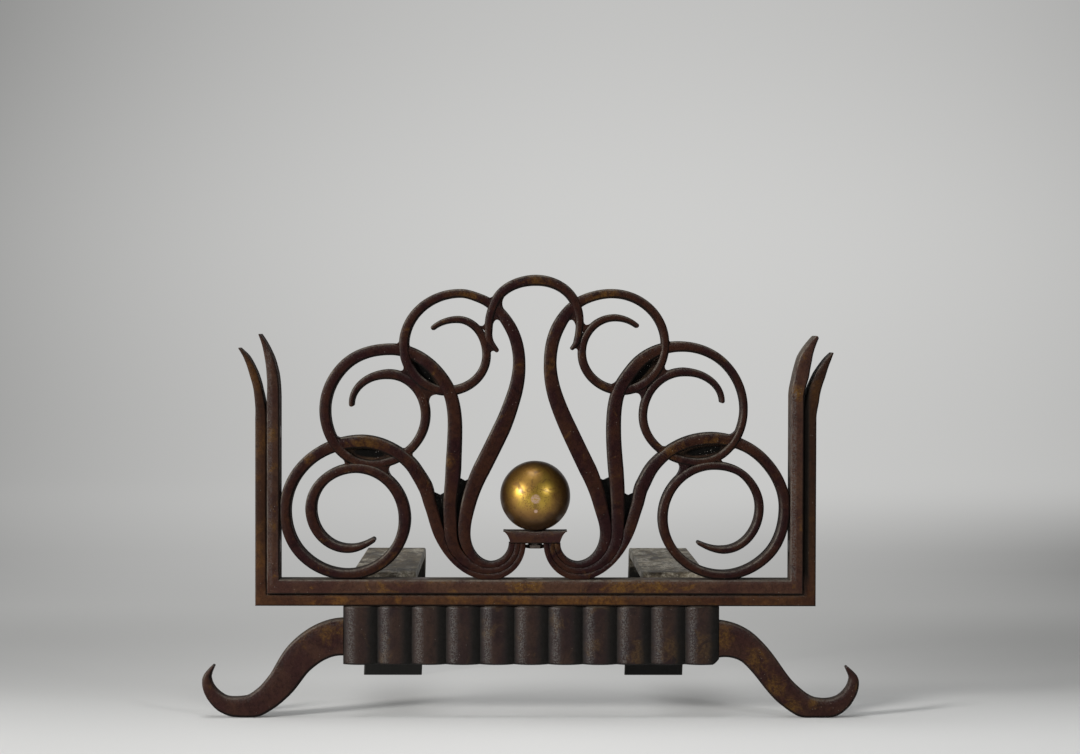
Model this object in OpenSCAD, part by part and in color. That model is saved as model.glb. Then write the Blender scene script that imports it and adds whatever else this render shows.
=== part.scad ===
// Wrought-iron andiron with scrolled screen, brass ball, reeded apron and log bars.
// Millimetres, +Z up, front towards -Y. The origin is on the floor, under the middle of
// the whole object. The scroll screen stands screen_x to the right of the legs' middle.

/* [Frame] */
// Clear width between the two posts
inner_w = 468; // [455:1:475]
// Distance of the screen's middle to the right of the legs' middle
screen_x = 3.3; // [0:0.1:6]
// Width of the left inner post
left_post_w = 12; // [11:0.5:16]
// Width of the right inner post
right_post_w = 12.5; // [11:0.5:16]
// Height of the inner base bar
base_t = 14; // [12:0.5:20]
// Depth of the inner frame, front to back
frame_d = 26; // [24:1:32]
// Width of the outer frame's left post
left_skin_w = 11; // [8:0.5:14]
// Width of the outer frame's right post
right_skin_w = 12; // [8:0.5:14]
// Height of the outer base bar
skin_t = 11; // [8:0.5:14]
// Step of the outer frame behind the inner frame's front
skin_step = 4; // [2:0.5:6]
// Height above the base bar's top at which the posts start to flare
flare_h = 167; // [154:1:174]

/* [Scrolls] */
// Height of the arch's top above the base bar's top
screen_h = 279.5; // [270:0.5:290]
// Height of the base bar's top above the floor
base_top = 128.5; // [118:0.5:140]
// Depth of the scroll bars, front to back
bar_d = 22; // [18:1:24]
// Step of the scroll bars behind the frame's front
bar_step = 1.5; // [0.5:0.5:3]
// Gap beside a bar in its half-lap notch
lap_gap = 0.2; // [0.1:0.05:0.4]
// How much of a bar's round side is filed flat where it stands on the frame
filed_flat = 0.4; // [0.2:0.1:0.8]
// Depth of the small web plates
web_d = 8; // [4:1:12]
// Step of the web plates behind the bars' front
web_step = 6; // [3:0.5:9]

/* [Ball and seat] */
// Diameter of the brass ball
ball_d = 65; // [56:1:68]
// Height of the seat's top above the base bar
seat_h = 44.5; // [43:0.5:50]
// Thickness of the seat
seat_t = 11.5; // [9:0.5:14]
// Width of the seat's top between its horn tips
seat_w = 58.5; // [54:0.5:64]
// Depth of the dish that the ball sits in
dish_depth = 1; // [0.5:0.1:3]
// Diameter of the stud that holds the ball
stud_d = 10; // [6:0.5:12]
// Length of the stud inside the ball
stud_in_ball = 24; // [15:1:30]
// Width across the nut's flats
nut_w = 15.5; // [14:0.5:16]
// Thickness of the nut
nut_t = 3; // [2.5:0.5:5]
// Diameter of the washer
washer_d = 13; // [12:0.5:15]
// Thickness of the washer
washer_t = 1.8; // [1:0.1:2.5]

/* [Apron and legs] */
// Width of the apron
apron_w = 346; // [334:1:358]
// Number of ribs on the apron
ribs = 11; // [9:2:13]
// How far a rib bulges out of its valleys
rib_bulge = 5.5; // [3:0.5:8]
// Height of the apron
apron_h = 54; // [48:1:60]
// Step of the ribs' crests behind the frame's front
apron_step = 3; // [1:0.5:5]
// Thickness of the legs, front to back
leg_d = 14; // [12:1:18]
// Length of the leg's tenon inside the apron
tenon_l = 15; // [10:1:16]
// Height of the tenon
tenon_h = 22; // [14:1:26]
// Thickness of the tenon
tenon_d = 8; // [6:0.5:10]

/* [Log bars] */
// Width of a log bar
log_w = 60; // [56:1:70]
// Thickness of a log bar
log_t = 9; // [7:0.5:12]
// Length of a log bar behind the frame
log_l = 267; // [220:1:310]
// Height of the log bars' top above the base bar's top
log_rise = 3.5; // [0:0.5:5]
// Distance of a log bar's outer edge from the apron's end
log_inset = 8; // [4:0.5:12]
// Distance of the log bars' middle to the left of the apron's middle
log_left = 1.9; // [0:0.1:2.5]
// Sideways lean of the rear legs, from top to foot
rear_lean = 4; // [0:0.5:8]
// Outer radius of the bends
bend_r = 11; // [10:0.5:16]
// Height of the front tab's lower end above the floor
tab_low = 60; // [56:1:70]

/* [Fasteners] */
// Diameter of the frame screws
frame_screw_d = 8; // [6:0.5:9]
// Distance between the outer frame screws
frame_screw_apart = 210; // [190:1:214]
// Depth of the frame screws inside the apron
frame_screw_in = 16; // [12:1:20]
// Diameter of the screws that hold the scrolls
scroll_screw_d = 6; // [5:0.5:7]
// Depth of the scroll screws inside the scrolls
scroll_screw_in = 5; // [4:0.5:5.5]
// Diameter of the rivets through the posts
post_rivet_d = 6; // [5:0.5:8]
// Heights of the post rivets above the base bar
post_rivet_low = 30; // [20:1:45]
post_rivet_high = 135; // [120:1:150]
// Diameter of the pins in the half laps
lap_pin_d = 4; // [3:0.5:4.5]
// Length of the lap pins
lap_pin_l = 16; // [13:0.5:17]
// Diameter of the pins in the leg tenons
leg_pin_d = 6; // [4:0.5:8]
// Diameter of the log bar bolts
bolt_d = 8; // [6:0.5:10]
// Depth of the bolts inside the apron
bolt_in = 14; // [10:1:16]
// Distance of a bolt from the log bar's edge
bolt_edge = 18; // [16:0.5:20]
// Width across the bolt head's flats
bolt_head_w = 13; // [11:0.5:17]
// Thickness of the bolt head
bolt_head_t = 5.5; // [4:0.5:8]
// Gap round a screw, rivet or pin in its hole
hole_gap = 0.1; // [0.05:0.05:0.2]

/* [Hidden] */

$fn = 64;
arc_steps = 8;      // straight facets between two knots of a bar
tip_steps = 4;      // facets round a bar's tip
eps = 0.01;
past = 1;           // cutters reach this far past the face that they cut

// Places along Y, from the frame's front
ball_y = bar_step + bar_d / 2;
front_y = -(frame_d + log_l + ball_y - ball_d / 2) / 2;
bar_y = front_y + bar_step;
skin_y = front_y + skin_step;
back_y = front_y + frame_d;
crest_y = front_y + apron_step;
leg_y = front_y + (apron_step + frame_d - leg_d) / 2;
stud_y = front_y + ball_y;

// Places along X and Z
left_in = -inner_w / 2;
right_in = inner_w / 2;
base_low = base_top - base_t;
flare_z = base_top + flare_h;
skin_low = base_low - skin_t;
apron_low = skin_low - apron_h;
seat_top = base_top + seat_h;
seat_low = seat_top - seat_t;
ball_z = seat_top - dish_depth + ball_d / 2;
log_top = base_top + log_rise;
log_apart = apron_w - 2 * log_inset - log_w;    // between the two log bars' middles
bolt_apart = log_w - 2 * bolt_edge;             // between the two bolts of a log bar
bundle_z = base_top - filed_flat;

// The scrolls are drawn for a frame of this inner width and a screen of this height above
// the base bar. They spread with the frame's width and rise with the screen's height.
drawn_w = 468;
drawn_h = 279.5;
spread = inner_w / drawn_w;
rise = screen_h / drawn_h;

// Bars are swept through knots [x, z, heading, width]. The heading is the angle of travel
// from +X towards +Z. Drawn knots measure x from the screen's middle and z from the base
// bar's top, and placed() puts them in their place.
function placed(knots) = [for (k = knots) [k.x * spread, base_top + k.y * rise, k[2], k[3]]];
function placed_points(points) = [for (p = points) [p.x * spread, base_top + p.y * rise]];

// Scroll bars start under the seat, run down, round the U-bend and up into their volutes
u_left = -41;       // middle of the left U-bend
u_right = 39.5;     // middle of the right U-bend
start_w = 5.5;      // width of each bar under the seat
function start(seat_x, u_x, u_height, u_w) = [
    [seat_x, seat_low, 270, start_w], [u_x, bundle_z + u_height, u_x < 0 ? 180 : 0, u_w]
];

left_swan = concat(start(-21.5, u_left, 13.5, 4.5), placed([
    [-65, 42.4, 91, 11], [-61.5, 67.9, 77, 13.5], [-49.5, 100.5, 63, 16],
    [-31.5, 137, 64.5, 16], [-20.5, 166, 72, 14], [-15, 198, 90, 11.5], [-23.5, 232, 120, 11],
    [-50.5, 257.5, 159, 8.5], [-69, 262.3, 180, 8], [-120.7, 214.7, 270, 9.2],
    [-81, 172.8, 0, 9], [-45, 205.5, 90, 8], [-71.5, 238.3, 180, 6.8], [-94, 230.6, 220, 4.6]
]));
right_swan = concat(start(20.5, u_right, 13.5, 4.5), placed([
    [65, 42.6, 89, 10], [60, 68, 103, 12.5], [48.5, 100.5, 116, 16], [31, 137, 115, 15.5],
    [19, 166, 108.5, 14], [13.5, 198, 90, 11.5], [21, 232, 63, 12], [46, 257.5, 22, 9.5],
    [70, 262.4, 0, 8.4], [119, 216.3, 270, 7.2], [79.2, 173.7, 180, 9], [42.6, 208, 90, 7.5],
    [72.5, 240.2, 0, 6.8], [92.8, 233, -38, 4.4]
]));
left_middle = concat(start(-16.5, u_left, 9, 6.5), placed([
    [-77.5, 42.3, 93, 11.5], [-78.1, 67.8, 89, 12.4], [-75.3, 100.8, 88, 14.4],
    [-73.9, 139.8, 90, 13.2], [-77, 165.8, 105, 12], [-90.5, 189.8, 131, 11.5],
    [-132.5, 210.9, 180, 10.8], [-175, 196.1, 224, 10.5], [-193, 155.1, 270, 10],
    [-150.5, 105.2, 0, 8], [-100.8, 150.8, 90, 8.6], [-135, 188, 180, 9.2],
    [-168.6, 160.2, 272, 4.6]
]));
right_middle = concat(start(15.5, u_right, 9, 6.5), placed([
    [75.5, 42.7, 88, 11], [76, 68.2, 91, 12.8], [74.1, 101.2, 95, 13.9], [72, 137.7, 90, 13.3],
    [74.5, 166.2, 77, 12.5], [90.5, 194.2, 52, 12], [133, 214, 0, 9.8],
    [174.4, 197.8, 315, 7.6], [191.7, 156.4, 270, 6.4], [149.5, 107.8, 180, 8],
    [99, 150.2, 90, 7.2], [136.5, 190.6, 0, 8.1], [171.6, 163.8, 272, 4.2]
]));
// The lower volutes lie against the posts and on the base bar, filed flat there
left_lower = concat(start(-11.5, u_left, 3, 6.4), placed([
    [-88, 41.8, 113, 10.4], [-96, 67.3, 109, 11.1], [-101.4, 85.3, 117, 13.1],
    [-110, 99.7, 122, 12.2], [-126.5, 115.7, 148, 11.5], [-160, 126.1, 180, 12]
]), [
    [left_in + 5 - filed_flat, base_top + 62.5 * rise, 270, 10],
    [-213.3 * spread, base_top + 21.4 * rise, 315, 9.6],
    [-172.5 * spread, bundle_z + 4.5, 0, 9]
], placed([
    [-119.8, 54.7, 90, 11.1], [-164.5, 101.8, 180, 8.9], [-205.8, 64.5, 270, 10.1],
    [-171, 27.7, 0, 7.6], [-148.5, 35.7, 33, 4.5]
]));
right_lower = concat(start(10.5, u_right, 3, 6.4), placed([
    [85.3, 42.2, 67, 9.8], [93.6, 67.7, 72, 11], [98.5, 85.7, 63, 12.4], [106, 100.2, 57, 11.7],
    [118.5, 113.8, 40, 10.5], [162.5, 129.4, 0, 11.5]
]), [
    [209.6 * spread, base_top + 110.4 * rise, 315, 9.9],
    [right_in - 4.5 + filed_flat, base_top + 66 * rise, 270, 9],
    [213.9 * spread, base_top + 21.5 * rise, 225, 8.6],
    [173 * spread, bundle_z + 4, 180, 8]
], placed([
    [117.4, 56.3, 90, 8.8], [164, 104.5, 0, 7.4], [194.1, 93.8, 315, 7.1], [206.5, 66, 270, 7],
    [172.5, 26.8, 180, 6.5], [150.5, 33.1, 153, 3.5]
]));
arch = placed([
    [-35.5, 210, 126, 4], [-42, 219, 112, 6.5], [-43, 232.5, 89, 7.5], [-38, 253, 68, 8.5],
    [0.5, 274.5, 0, 10], [36.5, 253.5, -66, 8.5], [40.5, 236, 270, 7], [38, 218.5, 253, 6],
    [33.5, 212, 225, 3.5]
]);
BARS = [left_swan, right_swan, left_middle, right_middle, left_lower, right_lower, arch];
// Places in BARS
ls = 0; rs = 1; lm = 2; rm = 3; ll = 4; rl = 5; ar = 6;

// Crossings as drawn: [bar over, bar under, x, z, half width and half height of the zone].
LAPS = [
    [ar, ls, -42, 254, 18, 14], [ar, rs, 42, 254, 18, 14],
    [ls, lm, -121, 212, 15, 15], [rs, rm, 119, 215, 15, 15],
    [lm, ls, -81, 176, 17, 16], [rm, rs, 78, 177, 17, 16],
    [lm, ll, -183, 125, 16, 18], [rm, rl, 184, 128, 16, 18],
    [ll, lm, -121, 117, 16, 17], [rl, rm, 116, 116, 16, 17],
    // bars that run side by side for a way
    [ar, ls, -41, 220, 12, 19], [ar, rs, 40, 220, 12, 19],
    [ls, lm, -108, 182, 11.5, 14.5], [rs, rm, 106, 184, 11.5, 14.5],
    [ll, lm, -152, 104, 14, 20], [rl, rm, 152, 106, 15, 20]
];
pinned = 10;        // the first crossings hold a pin
bundle_h = 93;      // bundled bars are trimmed against each other up to here above the base

// Web plates as drawn: corner points of a patch that the bars beside it trim to its shape
left_inner_patch = [
    [-70, 93], [-64.6, 90], [-58, 93], [-60, 74], [-65, 44], [-63, 26], [-69, 26], [-75, 60]
];
right_inner_patch = [[56, 94], [62.6, 91], [69, 94], [75, 64], [71, 43], [68, 43], [58, 74]];
left_outer_patch = [[-94, 80], [-87.4, 77], [-82, 80], [-80, 54], [-84, 42], [-90, 54]];
right_outer_patch = [[80, 80], [85.8, 77], [92, 80], [88, 54], [82, 42], [77, 56]];
left_upper_patch = [
    [-120, 210], [-104, 207], [-83, 186], [-80, 176], [-97, 176.5], [-109, 185], [-117.5, 198]
];
right_upper_patch = [
    [118, 212], [102, 209], [82, 188], [78, 177], [95, 177.5], [107, 186.5], [115.5, 199]
];
left_lower_patch = [
    [-181, 125], [-160, 124], [-135, 122], [-123, 116], [-135, 107.5], [-150, 105.2],
    [-168, 109.6]
];
right_lower_patch = [[182, 128], [160, 126], [135, 122], [118, 116], [140, 111], [166, 112]];

// Flares of the posts: [outwards from the post's middle, height above flare_z, lean, width]
inner_flare_left = [[1, 21, 8, 10.5], [4, 36, 16, 8], [12.5, 57, 30, 2]];
inner_flare_right = [[4, 21, 12, 14], [7.5, 36, 17, 12.5], [17, 55, 33, 5]];
outer_flare_left = [[3, 6.5, 10, 8], [7, 21, 19, 7.5], [13.5, 36, 29, 5], [20, 44.5, 38, 1.5]];
outer_flare_right = [[1.9, -2, 8, 13.2], [9.2, 21, 24, 10.4], [17, 36, 32, 5.2], [20.3, 41, 35, 2]];

// Legs, from the apron's end to the curled tip. x is measured from the apron's end.
leg_at = 25;        // height of a leg's middle above the apron's underside
leg_reach = 132;    // the legs end within this far of the apron's end
left_leg_path = [
    [0, apron_low + leg_at, 180, 34.5], [-40, 55.4, 225, 30.5], [-58.8, 29.7, 228, 26.4],
    [-71.6, 17.4, 216, 23.6], [-90, 9.1, 180, 21], [-114, 14.8, 141, 14.7],
    [-125.6, 35, 90, 8.4], [-119.8, 47.2, 55, 2.5]
];
right_leg_path = [
    [0, apron_low + leg_at - 1.8, 0, 34.4], [30, 61.5, -42, 26.4], [43.9, 45.9, -53, 25],
    [64, 21.7, -41, 23.3], [92, 7.3, 0, 21], [118, 17.7, 50, 13.5],
    [125, 34.6, 92, 9], [118.5, 46.3, 125, 2.5]
];
tenon_z = apron_low + leg_at;

// ---- Curves ----
function unit(a) = [cos(a), sin(a)];
function turn(a, b) = (b - a) - 360 * round((b - a) / 360);
// Length of the curve's handle at a knot: exact for arcs of circles and quarter ellipses
function reach(p, q, heading) =
    let (chord = [q.x - p.x, q.y - p.y], along = max(chord * unit(heading), norm(chord) / 2))
    let (t = min(abs(turn(p[2], q[2])), 120))   // degrees
    t < 1 ? along / 3 : along * 4 / 3 * tan(t / 4) / sin(t);
// Point and heading at t between two knots
function spot(p, q, t) =
    let (a = [p.x, p.y], d = [q.x, q.y])
    let (b = a + reach(p, q, p[2]) * unit(p[2]), c = d - reach(p, q, q[2]) * unit(q[2]))
    let (s = 1 - t)
    let (v = s * s * (b - a) + 2 * s * t * (c - b) + t * t * (d - c))
    let (o = s * s * s * a + 3 * s * s * t * b + 3 * s * t * t * c + t * t * t * d)
    [o.x, o.y, atan2(v.y, v.x), (p[3] * s + q[3] * t) / 2];
function track(knots) = concat(
    [for (i = [0 : len(knots) - 2], j = [0 : arc_steps - 1])
        spot(knots[i], knots[i + 1], j / arc_steps)],
    [spot(knots[len(knots) - 2], knots[len(knots) - 1], 1)]
);
function beside(s, side, grow) = [s.x, s.y] + (s[3] + grow) * unit(s[2] + side * 90);
function tip(s, grow, from) = [for (j = [1 : tip_steps - 1])
    [s.x, s.y] + (s[3] + grow) * unit(s[2] + from - 180 * j / tip_steps)];
// Closed outline of a bar; round_start says whether its first end is a tip too
function outline(knots, grow = 0, round_start = false) =
    let (line = track(knots), n = len(line) - 1)
    concat(
        [for (s = line) beside(s, 1, grow)],
        tip(line[n], grow, 90),
        [for (i = [n : -1 : 0]) beside(line[i], -1, grow)],
        round_start ? tip(line[0], grow, 270) : []
    );

// ---- Placing ----
// Stands a drawing in the XZ plane up, from y back by depth
module upright(y, depth) {
    translate([0, y + depth, 0])
        rotate([90, 0, 0])
            linear_extrude(depth) children();
}
module on_screen() {
    translate([screen_x, 0, 0]) children();
}
// Box round a crossing
module zone(c, y, depth) {
    translate([c[2] * spread - c[4], y, base_top + c[3] * rise - c[5]])
        cube([2 * c[4], depth, 2 * c[5]]);
}
module pin_along_y(x, z, y, length, d) {
    translate([x, y, z]) rotate([-90, 0, 0]) cylinder(d = d, h = length);
}
// Screw or rivet shank with a flush countersunk head at its start, along +Z. With a gap it
// is the hole, which runs past both ends.
module sunk_shank(d, length, gap) {
    head_d = 1.9 * d + 2 * gap;
    head_t = 0.45 * d;
    cylinder(d = d + 2 * gap, h = length + (gap > 0 ? past : 0));
    cylinder(d1 = head_d, d2 = d + 2 * gap, h = head_t);
    if (gap > 0) translate([0, 0, -past]) cylinder(d = head_d, h = past + eps);
}

// ---- Scroll bars ----
module bar_shape(i, grow = 0) {
    polygon(outline(BARS[i], grow, i == ar));
}
// Notch for bar other in the front or the back half of a bar
module notch(c, other, front) {
    half = bar_d / 2;
    intersection() {
        zone(c, front ? bar_y - past : bar_y + half, half + past);
        upright(bar_y - past, bar_d + 2 * past) bar_shape(other, lap_gap);
    }
}
module bar(i, inside = []) {
    difference() {
        upright(bar_y, bar_d) bar_shape(i);
        for (c = LAPS) {
            if (c[0] == i) notch(c, c[1], false);
            if (c[1] == i) notch(c, c[0], true);
        }
        // the bars nested inside this one in the U-bend
        for (j = inside) intersection() {
            translate([left_in, bar_y - past, base_top - past])
                cube([inner_w, bar_d + 2 * past, bundle_h + past]);
            upright(bar_y - past, bar_d + 2 * past) bar_shape(j);
        }
        for (k = [0 : pinned - 1]) {
            c = LAPS[k];
            if (c[0] == i || c[1] == i) lap_pin(c, hole_gap);
        }
        scroll_screw_set(hole_gap);
        ring_rivet_set(hole_gap);
        // filed flat on the base bar and against the posts
        difference() {
            translate([left_in - base_t, bar_y - past, base_top - base_t])
                cube([inner_w + 2 * base_t, bar_d + 2 * past, screen_h]);
            translate([left_in, bar_y - 2 * past, base_top])
                cube([inner_w, bar_d + 4 * past, screen_h]);
        }
    }
}
module left_swan_scroll() {
    color([0.24, 0.13, 0.12]) on_screen() bar(ls);
}
module right_swan_scroll() {
    color([0.24, 0.13, 0.12]) on_screen() bar(rs);
}
module left_middle_scroll() {
    color([0.23, 0.14, 0.11]) on_screen() bar(lm, [ls]);
}
module right_middle_scroll() {
    color([0.23, 0.14, 0.11]) on_screen() bar(rm, [rs]);
}
module left_lower_scroll() {
    color([0.25, 0.15, 0.11]) on_screen() bar(ll, [lm]);
}
module right_lower_scroll() {
    color([0.25, 0.15, 0.11]) on_screen() bar(rl, [rm]);
}
module top_arch() {
    color([0.27, 0.16, 0.1]) on_screen() bar(ar);
}

// ---- Web plates ----
module web(patch, bars) {
    color([0.13, 0.12, 0.1]) on_screen() difference() {
        upright(bar_y + web_step, web_d) polygon(placed_points(patch));
        for (i = bars) upright(bar_y, bar_d) bar_shape(i);
    }
}
module left_inner_web() {
    web(left_inner_patch, [ls, lm]);
}
module right_inner_web() {
    web(right_inner_patch, [rs, rm]);
}
module left_outer_web() {
    web(left_outer_patch, [lm, ll]);
}
module right_outer_web() {
    web(right_outer_patch, [rm, rl]);
}
module left_upper_lens_web() {
    web(left_upper_patch, [ls, lm]);
}
module right_upper_lens_web() {
    web(right_upper_patch, [rs, rm]);
}
module left_lower_lens_web() {
    web(left_lower_patch, [lm, ll]);
}
module right_lower_lens_web() {
    web(right_lower_patch, [rm, rl]);
}

// ---- Frames ----
function flare(post_x, side, points, w, from) = concat(
    [[post_x, base_top, 90, w], [post_x, from, 90, w]],
    [for (p = points) [post_x + side * p[0], flare_z + p[1], 90 - side * p[2], p[3]]]
);
left_post_x = left_in - left_post_w / 2;
right_post_x = right_in + right_post_w / 2;
left_skin_x = left_in - left_post_w - left_skin_w / 2;
right_skin_x = right_in + right_post_w + right_skin_w / 2;
inner_left_x = left_in - left_post_w;
inner_right_x = right_in + right_post_w;
outer_left_x = inner_left_x - left_skin_w;
outer_right_x = inner_right_x + right_skin_w;
// One bar bent into a U: up the left post, round its tip, down, along and up the right post
module inner_shape() {
    polygon(concat(
        [[inner_left_x, base_low]],
        outline(flare(left_post_x, -1, inner_flare_left, left_post_w, flare_z)),
        outline(flare(right_post_x, 1, inner_flare_right, right_post_w, flare_z)),
        [[inner_right_x, base_low]]
    ));
}
// The outer U fits close round it, and starts to flare lower down
outer_flare_z = flare_z - 18;
module outer_shape() {
    polygon(concat(
        [[outer_left_x, skin_low]],
        outline(flare(left_skin_x, -1, outer_flare_left, left_skin_w, outer_flare_z)),
        [[inner_left_x, base_low], [inner_right_x, base_low]],
        outline(flare(right_skin_x, 1, outer_flare_right, right_skin_w, outer_flare_z)),
        [[outer_right_x, skin_low]]
    ));
}
module inner_frame() {
    color([0.26, 0.16, 0.13]) on_screen() difference() {
        upright(front_y, frame_d) inner_shape();
        frame_screw_set(hole_gap);
        scroll_screw_set(hole_gap);
        post_rivet_set(hole_gap);
        ring_rivet_set(hole_gap);
    }
}
module outer_frame() {
    color([0.36, 0.2, 0.1]) on_screen() difference() {
        upright(skin_y, frame_d - skin_step) outer_shape();
        frame_screw_set(hole_gap);
        scroll_screw_set(hole_gap);
        post_rivet_set(hole_gap);
        ring_rivet_set(hole_gap);
    }
}

// ---- Ball and seat ----
// The seat's sides are hollow arcs that carry on the curve of the U-bends
seat_half_low = 23.3;   // half width at the seat's underside
horn_out = seat_w / 2 - seat_half_low;
horn_r = (horn_out * horn_out + seat_t * seat_t) / (2 * horn_out);
module seat_shape() {
    difference() {
        translate([-seat_w / 2, seat_low]) square([seat_w, seat_t]);
        for (side = [-1, 1])
            translate([side * (seat_half_low + horn_r), seat_low]) circle(horn_r, $fn = 96);
    }
}
module ball_seat() {
    color([0.24, 0.14, 0.12]) on_screen() difference() {
        upright(bar_y, bar_d) seat_shape();
        translate([0, stud_y, ball_z]) sphere(d = ball_d, $fn = 96);
        translate([0, stud_y, seat_low - past])
            cylinder(d = stud_d + 2 * hole_gap, h = seat_t + 2 * past);
    }
}
module brass_ball() {
    color([0.55, 0.4, 0.16]) on_screen() difference() {
        translate([0, stud_y, ball_z]) sphere(d = ball_d, $fn = 96);
        translate([0, stud_y, ball_z - ball_d / 2 - past])
            cylinder(d = stud_d + 2 * hole_gap, h = stud_in_ball + past);
    }
}
module ball_stud() {
    below = washer_t + nut_t;
    color([0.3, 0.28, 0.26]) on_screen()
        translate([0, stud_y, seat_low - below])
            cylinder(d = stud_d, h = below + seat_t - dish_depth + stud_in_ball);
}
module stud_washer() {
    color([0.2, 0.17, 0.15]) on_screen() translate([0, stud_y, seat_low - washer_t]) difference() {
        cylinder(d = washer_d, h = washer_t);
        translate([0, 0, -past]) cylinder(d = stud_d + 2 * hole_gap, h = washer_t + 2 * past);
    }
}
module stud_nut() {
    color([0.16, 0.14, 0.13]) on_screen()
        translate([0, stud_y, seat_low - washer_t - nut_t]) difference() {
            cylinder(d = nut_w / cos(30), h = nut_t, $fn = 6);
            translate([0, 0, -past]) cylinder(d = stud_d + 2 * hole_gap, h = nut_t + 2 * past);
        }
}

// ---- Apron and legs ----
rib_w = apron_w / ribs;
rib_r = (rib_w * rib_w / 4 + rib_bulge * rib_bulge) / (2 * rib_bulge);
module reeded_apron() {
    color([0.25, 0.14, 0.13]) difference() {
        translate([0, 0, apron_low]) linear_extrude(apron_h) intersection() {
            for (i = [0 : ribs - 1])
                translate([(i + 0.5) * rib_w - apron_w / 2, crest_y + rib_r]) circle(rib_r);
            translate([-apron_w / 2, crest_y]) square([apron_w, back_y - crest_y]);
        }
        for (side = [-1, 1]) tenon(side, hole_gap);
        leg_pin_set(hole_gap);
        on_screen() frame_screw_set(hole_gap);
        log_bolt_set(hole_gap);
    }
}
module tenon(side, gap) {
    translate([side * (apron_w / 2 - tenon_l / 2), leg_y + leg_d / 2, tenon_z])
        cube([tenon_l + 2 * gap, tenon_d + 2 * gap, tenon_h + 2 * gap], center = true);
}
module leg(path, side) {
    difference() {
        union() {
            difference() {
                translate([side * apron_w / 2, 0, 0])
                    upright(leg_y, leg_d) polygon(outline(path));
                // ground flat at the floor
                translate([side * (apron_w + leg_reach) / 2, leg_y + leg_d / 2, -leg_d / 2])
                    cube([leg_reach, leg_d + 2 * past, leg_d], center = true);
            }
            translate([side * (apron_w - tenon_l + past) / 2, leg_y + leg_d / 2, tenon_z])
                cube([tenon_l + past, tenon_d, tenon_h], center = true);
        }
        leg_pin_set(hole_gap);
    }
}
module left_leg() {
    color([0.27, 0.15, 0.11]) leg(left_leg_path, -1);
}
module right_leg() {
    color([0.27, 0.15, 0.11]) leg(right_leg_path, 1);
}

// ---- Log bars ----
// Box with two round upper corners
module round_top(w, h, r) {
    square([w, h - r]);
    translate([r, 0]) square([w - 2 * r, h]);
    for (x = [r, w - r]) translate([x, h - r]) circle(r);
}
module log_bar(side) {
    x = side * log_apart / 2 - log_left;
    leg_top = log_top - bend_r - 4;
    difference() {
        union() {
            // tab, top and rear bend in one side view
            translate([x - log_w / 2, 0, 0]) rotate([90, 0, 90]) linear_extrude(log_w)
                difference() {
                    translate([back_y, tab_low]) round_top(log_l, log_top - tab_low, bend_r);
                    translate([back_y + log_t, tab_low - past])
                        round_top(log_l - 2 * log_t, log_top - tab_low + past - log_t,
                            bend_r - log_t);
                    translate([back_y + log_t, tab_low - past])
                        square([log_l, leg_top - tab_low + past]);
                }
            // rear leg, leaning a little to the left
            upright(back_y + log_l - log_t, log_t) polygon([
                [x - log_w / 2 - rear_lean, 0], [x + log_w / 2 - rear_lean, 0],
                [x + log_w / 2, leg_top], [x - log_w / 2, leg_top]
            ]);
        }
        log_bolt_set(hole_gap);
    }
}
module left_log_bar() {
    color([0.3, 0.28, 0.25]) log_bar(-1);
}
module right_log_bar() {
    color([0.3, 0.28, 0.25]) log_bar(1);
}

// ---- Fasteners: each set is drawn for the pieces, and with a gap for their holes ----
mid_y = front_y + frame_d / 2;
module frame_screw_set(gap) {
    for (k = [-1 : 1])
        translate([k * frame_screw_apart / 2, mid_y, base_top]) mirror([0, 0, 1])
            sunk_shank(frame_screw_d, base_t + skin_t + frame_screw_in, gap);
}
module scroll_screw_set(gap) {
    for (x = [u_left, u_right, -172.5 * spread, 173 * spread])
        translate([x, mid_y, skin_low])
            sunk_shank(scroll_screw_d, base_t + skin_t + scroll_screw_in, gap);
}
module post_rivet_set(gap) {
    for (z = [post_rivet_low, post_rivet_high]) {
        translate([outer_left_x, mid_y, base_top + z]) rotate([0, 90, 0])
            sunk_shank(post_rivet_d, left_post_w + left_skin_w, gap);
        translate([outer_right_x, mid_y, base_top + z]) rotate([0, -90, 0])
            sunk_shank(post_rivet_d, right_post_w + right_skin_w, gap);
    }
}
ring_rivet_z = 64 * rise;       // height of the lower volutes' sides above the base bar
ring_rivet_in = 5.5;            // depth of the rivets inside the volutes
module ring_rivet_set(gap) {
    translate([outer_left_x, mid_y, base_top + ring_rivet_z]) rotate([0, 90, 0])
        sunk_shank(post_rivet_d, left_post_w + left_skin_w + ring_rivet_in, gap);
    translate([outer_right_x, mid_y, base_top + ring_rivet_z]) rotate([0, -90, 0])
        sunk_shank(post_rivet_d, right_post_w + right_skin_w + ring_rivet_in, gap);
}
// Pins start inside and end flush at the back. Their holes run past the back.
module lap_pin(c, gap) {
    pin_along_y(c[2] * spread, base_top + c[3] * rise, bar_y + bar_d - lap_pin_l,
        lap_pin_l + (gap > 0 ? past : 0), lap_pin_d + 2 * gap);
}
module leg_pin_set(gap) {
    for (side = [-1, 1])
        pin_along_y(side * (apron_w / 2 - tenon_l / 2), tenon_z, leg_y + past,
            back_y - leg_y - past + (gap > 0 ? past : 0), leg_pin_d + 2 * gap);
}
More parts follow.
